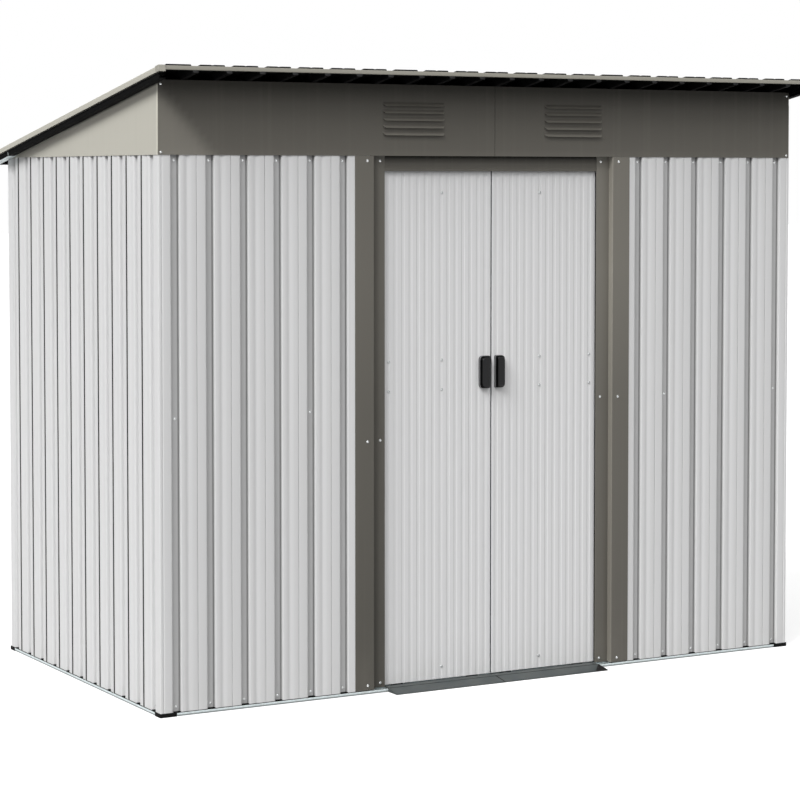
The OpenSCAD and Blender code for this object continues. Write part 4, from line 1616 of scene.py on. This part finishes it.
@dataclass
class Roof:
    """Black corrugated roof sheets on rails, framed by stone trims with corner caps.

    Heights are square to the slope, from the sheets' lowest plane.
    """

    plan: Plan
    shop: Workshop
    over_x: float = 0.034
    over_y: float = 0.090
    depth: float = 0.024
    sheet: float = 0.002
    gauge: float = 0.0012
    pitch: float = 0.108
    top: float = 0.028
    floor: float = 0.016
    bead: tuple[float, float] = (0.006, 0.0014)
    first: float = 0.115
    last: float = 0.110
    edge: float = 0.015
    underside_shade: float = 0.75
    trim_top: float = 0.0215
    trim_h: float = 0.013
    trim_out: float = 0.0023
    flange: float = 0.013
    cap_foot: float = 0.0045
    cap_w: float = 0.018
    cap_len: float = 0.022
    cap_reach: float = 0.0036
    cap_skin: float = 0.001
    lit_end_from: float = 0.175
    lit_end_to: float = 0.010

    @property
    def cap_heights(self) -> tuple[float, float]:
        """Return the heights of a corner cap's foot and top."""
        return self.cap_foot - self.cap_skin, self.trim_top + 0.0003 + self.cap_skin

    @property
    def half(self) -> float:
        """Return half the roof's width."""
        return self.plan.half_w + self.over_x

    @property
    def length(self) -> float:
        """Work out the sheets' length down the slope, which leaves room for the caps' tilt.

        Returns:
            The length.
        """
        slope = self.plan.slope
        level = 2 * self.plan.half_d + 2 * self.over_y
        return (level - sum(self.cap_heights) * math.sin(slope)) / math.cos(slope)

    def axes(self, order: str) -> Axes:
        """Give the roof's frame.

        Args:
            order: Its across (x), down-slope (y) and square (z) directions, in the wanted order.

        Returns:
            The frame, with its origin over the middle of the front edge.
        """
        sine, cosine = math.sin(self.plan.slope), math.cos(self.plan.slope)
        ways = {"x": (1, 0, 0), "y": (0, cosine, -sine), "z": (0, sine, cosine)}
        front = -self.plan.half_d - self.over_y
        return Axes((0, front, self.plan.roof_low(front)), *(ways[key] for key in order))

    def centres(self) -> Array:
        """Return the groove centres across the roof."""
        count = 2 * round((self.half - self.first) / self.pitch) + 1
        return np.linspace(-self.half + self.first, self.half - self.last, count)

    def panel(self, x0: float, x1: float) -> Surface:
        """Make one roof sheet: its section is pans, each with a fine centre groove, and valleys.

        Args:
            x0: Its left edge across the roof.
            x1: Its right edge.

        Returns:
            The sheet's surface.
        """
        high, low = self.depth + self.sheet, self.sheet
        cs = self.centres()
        cs = cs[(cs > x0 + self.floor) & (cs < x1 - self.floor)]
        rise, half, foot = (self.top - self.floor) / 2, self.top / 2, self.floor / 2
        valleys = repeated([[-half, high], [-foot, low], [foot, low], [half, high]], cs)
        wide, deep = self.bead
        beads = repeated([[-wide, high], [0.0, high - deep], [wide, high]], (cs[:-1] + cs[1:]) / 2)
        cells = np.concatenate([valleys[:-1], beads], 1).reshape(-1, 2)
        head, tail = [[x0, high]], [[x1, high]]
        if x0 <= -self.half + 1e-6:
            head = [[x0, low], [x0 + self.edge, low], [x0 + self.edge + rise, high]]
        if x1 >= self.half - 1e-6:
            tail = [[x1 - self.edge - rise, high], [x1 - self.edge, low], [x1, low]]
        line = fillet(np.concatenate([head, cells, valleys[-1], tail]), 0.0025, 3)
        # the sheet's underside carries painted shade
        return folded_sheet(line, -self.gauge, (0.0, self.length), self.axes("xzy"),
                            self.underside_shade)

    def end_trim(self, back: bool) -> Surface:
        """Make the strip across the sheets' front or back ends, with turned edges.

        Args:
            back: Whether it is at the back.

        Returns:
            The strip's surface.
        """
        out, low, high = -self.trim_out, self.trim_top - self.trim_h, self.trim_top
        corners = np.array([
            [-0.0004, high - 0.0004], [-0.0017, high], [out, high - 0.0009], [out, low + 0.0015],
            [-0.0014, low + 0.0003], [-0.0004, low + 0.0003]])
        if back:
            corners = corners * (-1, 1) + (self.length, 0)
        reach = self.half - self.flange - 0.001
        line = fillet(corners, 0.0006, 3)
        return folded_sheet(line, -0.0009 if back else 0.0009, (-reach, reach), self.axes("yzx"))

    def side_trim(self) -> Surface:
        """Make the left side's trim: outer skin, top flange and the lip down to the sheet.

        Returns:
            The trim's surface.
        """
        out, inner, top = -self.half - self.trim_out, -self.half + self.flange, self.trim_top
        corners = np.array([
            [out + 0.0012, 0.0048], [out, 0.0052], [out, top - 0.0002], [inner, top - 0.0002],
            [inner, self.sheet + 0.0004]])
        ends = (-self.trim_out, self.length + self.trim_out)
        return folded_sheet(fillet(corners, 0.0012), -0.001, ends, self.axes("xzy"))

    def cap(self, back: bool) -> Surface:
        """Make the left cover over a corner: its side, end and top faces as an open box.

        Args:
            back: Whether it is on the back corner.

        Returns:
            An open surface that a thickness is given to.
        """
        x0, x1 = -self.half - self.cap_reach, -self.half + self.cap_w
        y0, y1 = -self.cap_reach, self.cap_len
        z0, z1 = self.cap_heights
        local = np.array([[x0, y0, z0], [x0, y1, z0], [x1, y0, z0], [x0, y0, z1], [x0, y1, z1],
                          [x1, y0, z1], [x1, y1, z1]])
        quads = np.array([[0, 3, 4, 1], [0, 2, 5, 3], [3, 5, 6, 4]])
        if back:
            local[:, 1] = self.length - local[:, 1]
            quads = quads[:, ::-1]
        return Surface(self.axes("xyz").place(local), [quads])

    def build(self) -> None:
        """Build the sheets, trims and caps, and dress the beams and rails."""
        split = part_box("roof_panel_left")[1].x
        edges = (-self.half, split, -split, self.half)
        for name, x0, x1 in zip(("left", "centre", "right"), edges, edges[1:]):
            node = f"roof_panel_{name}"
            self.shop.add(Piece(f"{node}_sheet", self.panel(x0, x1), ROOF, stands_for=(node,)))
        side = self.side_trim()
        for name, surface, coat in (
                ("front", self.end_trim(False), STONE_IN_SHADE), ("back", self.end_trim(True), STONE_IN_SHADE),
                ("left", side, STONE), ("right", side.mirrored(), STONE)):
            node = f"roof_trim_{name}"
            self.shop.add(Piece(f"{node}_fold", surface, coat, stands_for=(node,)))
        caps = [self.cap(False), self.cap(True)]
        caps += [cap.mirrored() for cap in caps]
        self.shop.add(Piece("roof_corner_caps_moulded", joined(caps), CAP,
                            stands_for=("roof_corner_caps",), wall=self.cap_skin, bevel=0.0009))
        # galvanised blocks that show the rails' own zinc at their lit back ends; elsewhere the
        # rails carry painted shadow
        low = (-self.half + 0.0014, self.length - self.lit_end_from, -0.0140)
        high = (-self.plan.half_w - 0.0026, self.length - self.lit_end_to, -0.0002)
        lit_end = block_shape(low, high, 0.0008)
        lit_end = Surface(self.axes("xyz").place(lit_end.points), lit_end.faces)
        self.shop.add(Piece("edge_rail_lit_ends", joined([lit_end, lit_end.mirrored()]), GALVANISED))
        self.shop.dress("roof_beams", GALVANISED)
        # painted shadow: the edge rails are dressed near black
        self.shop.dress("roof_edge_rails", SHADED)


@dataclass
class Ramp:
    """The low ramp before the doorway: two folded halves, a moulded end cap and the sill."""

    shop: Workshop
    foot: float = 0.0004
    top: float = 0.0119
    joint: tuple[float, float] = (0.0008, 0.0036)
    joint_shade: float = 0.95
    cap_gap: float = 0.0006
    sill: tuple[float, float] = (0.0117, 0.0132)
    sill_depth: float = 0.0305

    def section(self, back: float, front: float) -> Array:
        """Draw the ramp's closed section from the back foot over the top to the nose.

        Args:
            back: The back's y.
            front: The front's y.

        Returns:
            The section's (y, height) points.
        """
        return np.array([
            [back, self.foot], [back, self.top - 0.0007], [back - 0.0008, self.top],
            [back - 0.006, self.top - 0.0005], [front + 0.005, 0.0042], [front + 0.001, 0.0031],
            [front + 0.0001, 0.0022], [front + 0.0004, self.foot]])

    def build(self) -> None:
        """Build the two halves, the cap and the sill.

        Every end is a ring of the section whose x is the end's own line: square, or running
        forward and inward at the right-hand mitre.
        """
        low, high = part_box("ramp")
        cap_low, cap_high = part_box("ramp_end_cap")
        ring = self.section(high.y, low.y)
        share = (high.y - ring[:, 0]) / (high.y - low.y)
        width = cap_high.x - cap_low.x

        def end(x: float, mitre: float = 0.0) -> Array:
            """Return the section's ring at x, set back by mitre times its share of the depth."""
            return np.column_stack([x - mitre * share, ring[:, 0], ring[:, 1]])

        near, far = self.joint
        # painted shade at the joint between the two halves
        painted_dark = np.array([0.0, 0.0, self.joint_shade])
        left = loft(np.stack([end(low.x), end(-far), end(-near)]), painted_dark)
        mitred = end(cap_high.x - self.cap_gap, width)
        right = loft(np.stack([end(near), end(far), mitred]), painted_dark[::-1])
        sill = block_shape((low.x + 0.001, high.y - 0.0004, self.sill[0]),
                           (high.x - 0.001, high.y + self.sill_depth, self.sill[1]), 0.0004)
        self.shop.add(Piece("door_sill", sill, SLATE))
        self.shop.add(Piece("ramp_halves", joined([left, right]), SLATE, stands_for=("ramp",),
                            bevel=0.0003))
        # a black cap on the right mitre only: a dark stand-in for the shade on that facet
        cap = loft(np.stack([end(cap_high.x, width - 0.0004), end(cap_high.x + 0.00001)]))
        self.shop.add(Piece("ramp_end_shade_cap", cap, BLACK, stands_for=("ramp_end_cap",)))


@dataclass
class Screws:
    """Every visible screw head, in one piece for each body and for the roof.

    Heights are from the ground, and distances across are from the doorway's middle.
    """

    plan: Plan
    shop: Workshop
    walls: Walls
    fascia: Fascia
    roof: Roof
    head: ScrewHead = ScrewHead()
    roof_head: ScrewHead = ScrewHead(radius=0.004, height=0.0012, washer=0.0052)
    leaf_head: ScrewHead = ScrewHead(radius=0.0036, height=0.0024, washer=0.0044)
    top: float = 1.647
    foot: float = 0.027
    middle: float = 0.884
    left_middle: float = 0.784
    jamb_flange: float = 0.464
    jamb_strip: float = 0.4085
    strip_back: float = 0.019
    fascia_end: float = 0.008
    fascia_foot: float = 0.008
    fascia_top: float = 0.013
    beams: tuple[float, float, float] = (0.10, 0.5, 0.93)
    beside_bead: float = 0.014
    leaf_across: tuple[float, float] = (0.1815, 0.372)
    leaf_heights: tuple[float, float] = (0.931, 1.024)
    leaf_ends: tuple[float, float] = (1.548, 0.055)

    def grooves(self, side: Side, centres: Array, middles: Array) -> Surface:
        """Set screws in a wall's grooves: one at the top and foot of each, some at mid height.

        Args:
            side: The wall.
            centres: Groove centres along it.
            middles: Centres of the grooves that have a middle screw.

        Returns:
            The heads' surface.
        """
        axes = self.plan.wall(side)
        depth = self.walls.roll.depth
        rows = [(centres, self.top), (centres, self.foot), (middles, self.middle)]
        local = np.concatenate([
            np.column_stack([c, np.full(len(c), depth), np.full(len(c), z)]) for c, z in rows])
        return self.head.at(axes.place(local), -np.asarray(axes.b, float))

    def wall_screws(self) -> list[Surface]:
        """Set the screws of all four walls.

        Returns:
            A surface for each wall.
        """
        w = self.plan.half_w
        front, ends = self.walls.front_centres(), self.walls.side_centres()
        back = self.walls.back_centres()
        picks = front[[0, 4]]
        backs = np.concatenate([back, 2 * w - back])
        return [
            self.grooves(Side.FRONT, np.concatenate([front, 2 * w - front]),
                         np.concatenate([picks, 2 * w - picks])),
            self.grooves(Side.LEFT, ends, ends[[0, 5, 10]]),
            self.grooves(Side.RIGHT, ends, ends[[0, 5, 10]]),
            self.grooves(Side.BACK, backs, backs[1::4])]

    def front_trim(self) -> Surface:
        """Set the screws of the jambs and fascia.

        Returns:
            The heads' surface.
        """
        p, fascia = self.plan, self.fascia
        flange, strip = -p.half_d - 0.002, -p.half_d + self.strip_back
        rows = []
        for sign, middle, short in ((-1, self.left_middle, 0.0),
                                    (1, self.middle, fascia.right_short)):
            for z in (self.top, middle, self.foot):
                rows += [(sign * self.jamb_flange, flange, z), (sign * self.jamb_strip, strip, z)]
            end = sign * (p.half_w - self.fascia_end - short)
            for z in (p.eaves + self.fascia_foot, p.ridge - self.fascia_top):
                rows += [(end, -p.half_d - fascia.proud, z)]
        return self.head.at(np.array(rows), (0.0, -1.0, 0.0))

    def roof_screws(self) -> Surface:
        """Set the screws beside the centre groove of every other pan, over the beams.

        Returns:
            The heads' surface.
        """
        roof = self.roof
        cs = roof.centres()
        x = ((cs[:-1] + cs[1:]) / 2 + self.beside_bead)[::2]
        y = np.array(self.beams) * roof.length
        grid = np.stack(np.meshgrid(x, y, indexing="ij"), -1).reshape(-1, 2)
        sunk = roof.depth + roof.sheet - 0.0013
        axes = roof.axes("xyz")
        places = axes.place(np.column_stack([grid, np.full(len(grid), sunk)]))
        return self.roof_head.at(places, np.asarray(axes.c, float))

    def door_screws(self, sign: int) -> Surface:
        """Set the screws of one leaf: two rows of two at its rail, and one near each end.

        Args:
            sign: 1 for the right leaf and -1 for the left.

        Returns:
            The heads' surface.
        """
        face, near = self.plan.leaf_face, self.leaf_across[0]
        places = [(sign * x, face, z) for z in self.leaf_heights for x in self.leaf_across]
        places += [(sign * near, face, z) for z in self.leaf_ends]
        return self.leaf_head.at(np.array(places), (0.0, -1.0, 0.0))

    def build(self) -> None:
        """Build the screws of the shell and of each leaf."""
        shell = joined([*self.wall_screws(), self.front_trim()])
        self.shop.add(Piece("shell_screws", shell, PLATED, crease=60.0))
        self.shop.add(Piece("roof_screws", self.roof_screws(), BLACK, crease=60.0))
        for name, sign, body in (("left", -1, Body.LEFT), ("right", 1, Body.RIGHT)):
            self.shop.add(Piece(f"door_{name}_screws", self.door_screws(sign), DULL, body,
                                crease=60.0))


# ---------------------------------------------------------------- studio


@dataclass(frozen=True)
class Studio:
    """Floor, lamps, world and camera.

    Each lamp is a sun: its strength, the way it shines and the angle that it fills.
    """

    lamps: tuple[tuple[str, float, Triple, float], ...] = (
        ("key", 2.38, (3.0, 1.3, -3.3), 0.49),
        ("front", 0.80, (0.25, 1.0, -1.1), 1.1),
        ("fill", 0.5, (-3.0, -2.5, -1.6), 1.2))
    sky: float = 0.42
    floor_half: float = 60.0
    floor_z: float = -0.0005
    camera_at: Triple = (-4.1228, -7.3135, 1.5943)
    yaw: float = 0.5134
    pitch: float = 0.0490
    lens: float = 112.02
    shift: float = -0.125

    def floor(self) -> None:
        """Lay a wide floor that shows nearly white, keeps shadows and throws little light back."""
        mesh = bpy.data.meshes.new("floor")
        half, z = self.floor_half, self.floor_z
        corners = [(-half, -half, z), (half, -half, z), (half, half, z), (-half, half, z)]
        mesh.from_pydata(corners, [], [(0, 1, 2, 3)])
        made = bpy.data.objects.new("floor", mesh)
        bpy.context.scene.collection.objects.link(made)
        paint = bpy.data.materials.new("studio_floor")
        paint.use_nodes = True
        tree = paint.node_tree
        shader = tree.nodes["Principled BSDF"]
        shader.inputs["Roughness"].default_value = 1.0
        shader.inputs["Specular IOR Level"].default_value = 0.0
        shader.inputs["Emission Color"].default_value = (1, 1, 1, 1)
        rays = tree.nodes.new("ShaderNodeLightPath").outputs
        seen = maths(tree, "MAXIMUM", rays["Is Camera Ray"], rays["Is Glossy Ray"])
        seen = maths(tree, "MAXIMUM", seen, rays["Is Transmission Ray"])
        tree.links.new(ramp(tree, seen, 0.0, 1.0, 0.20, 0.85), shader.inputs["Base Color"])
        glow = ramp(tree, rays["Is Camera Ray"], 0.0, 1.0, 0.0, 0.35)
        tree.links.new(glow, shader.inputs["Emission Strength"])
        mesh.materials.append(paint)

    def world(self) -> None:
        """Make a soft grey sky that the camera sees as white."""
        world = bpy.data.worlds.new("studio")
        bpy.context.scene.world = world
        world.use_nodes = True
        tree = world.node_tree
        back = tree.nodes["Background"]
        back.inputs["Color"].default_value = (1, 1, 1, 1)
        rays = tree.nodes.new("ShaderNodeLightPath").outputs
        coordinates = tree.nodes.new("ShaderNodeTexCoord")
        parts = tree.nodes.new("ShaderNodeSeparateXYZ")
        tree.links.new(coordinates.outputs["Generated"], parts.inputs["Vector"])
        soft = ramp(tree, parts.outputs["Z"], -0.05, 0.8, self.sky * 0.3, self.sky * 1.55)
        seen = maths(tree, "MAXIMUM", rays["Is Camera Ray"], rays["Is Transmission Ray"])
        tree.links.new(maths(tree, "MAXIMUM", soft, seen), back.inputs["Strength"])

    def sun(self, name: str, energy: float, way: Triple, size: float) -> None:
        """Add a lamp that shines along a direction.

        Args:
            name: The lamp's name.
            energy: Its strength.
            way: The direction.
            size: The angle that it fills, in radians.
        """
        data = bpy.data.lights.new(name, "SUN")
        data.energy, data.angle = energy, size
        made = bpy.data.objects.new(name, data)
        made.rotation_euler = Vector(way).to_track_quat("-Z", "Y").to_euler()
        bpy.context.scene.collection.objects.link(made)

    def camera(self) -> None:
        """Place the camera by its yaw from +Y, its pitch and its lens."""
        data = bpy.data.cameras.new("camera")
        data.lens, data.sensor_width, data.shift_y = self.lens, 36.0, self.shift
        made = bpy.data.objects.new("camera", data)
        made.location = self.camera_at
        cp = math.cos(self.pitch)
        aim = Vector((math.sin(self.yaw) * cp, math.cos(self.yaw) * cp, -math.sin(self.pitch)))
        made.rotation_euler = aim.to_track_quat("-Z", "Y").to_euler()
        bpy.context.scene.collection.objects.link(made)
        bpy.context.scene.camera = made

    def build(self) -> None:
        """Build the studio."""
        bpy.context.scene.view_settings.view_transform = "Standard"
        self.camera()
        self.floor()
        self.world()
        for lamp in self.lamps:
            self.sun(*lamp)


def main() -> None:
    """Build every class in order and report the pieces."""
    logging.basicConfig(level=logging.INFO, format="%(name)s: %(message)s")
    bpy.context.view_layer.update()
    Studio().build()
    plan = Plan.from_frame()
    LOG.info("plan %s", plan)
    shop = Workshop(frame["nodes"])
    walls, fascia, roof = Walls(plan, shop), Fascia(plan, shop), Roof(plan, shop)
    parts = (
        walls, BaseFrame(plan, shop, walls), Doorway(plan, shop), Door(shop, Side.LEFT),
        Door(shop, Side.RIGHT, rib_first=0.0193, grip_near=0.0120), fascia, roof, Ramp(shop),
        Screws(plan, shop, walls, fascia, roof))
    for part in parts:
        LOG.info("building %s", type(part).__name__)
        part.build()
    LOG.info("nodes left plain: %s", sorted(shop.plain))


if __name__ == "__main__":
    main()
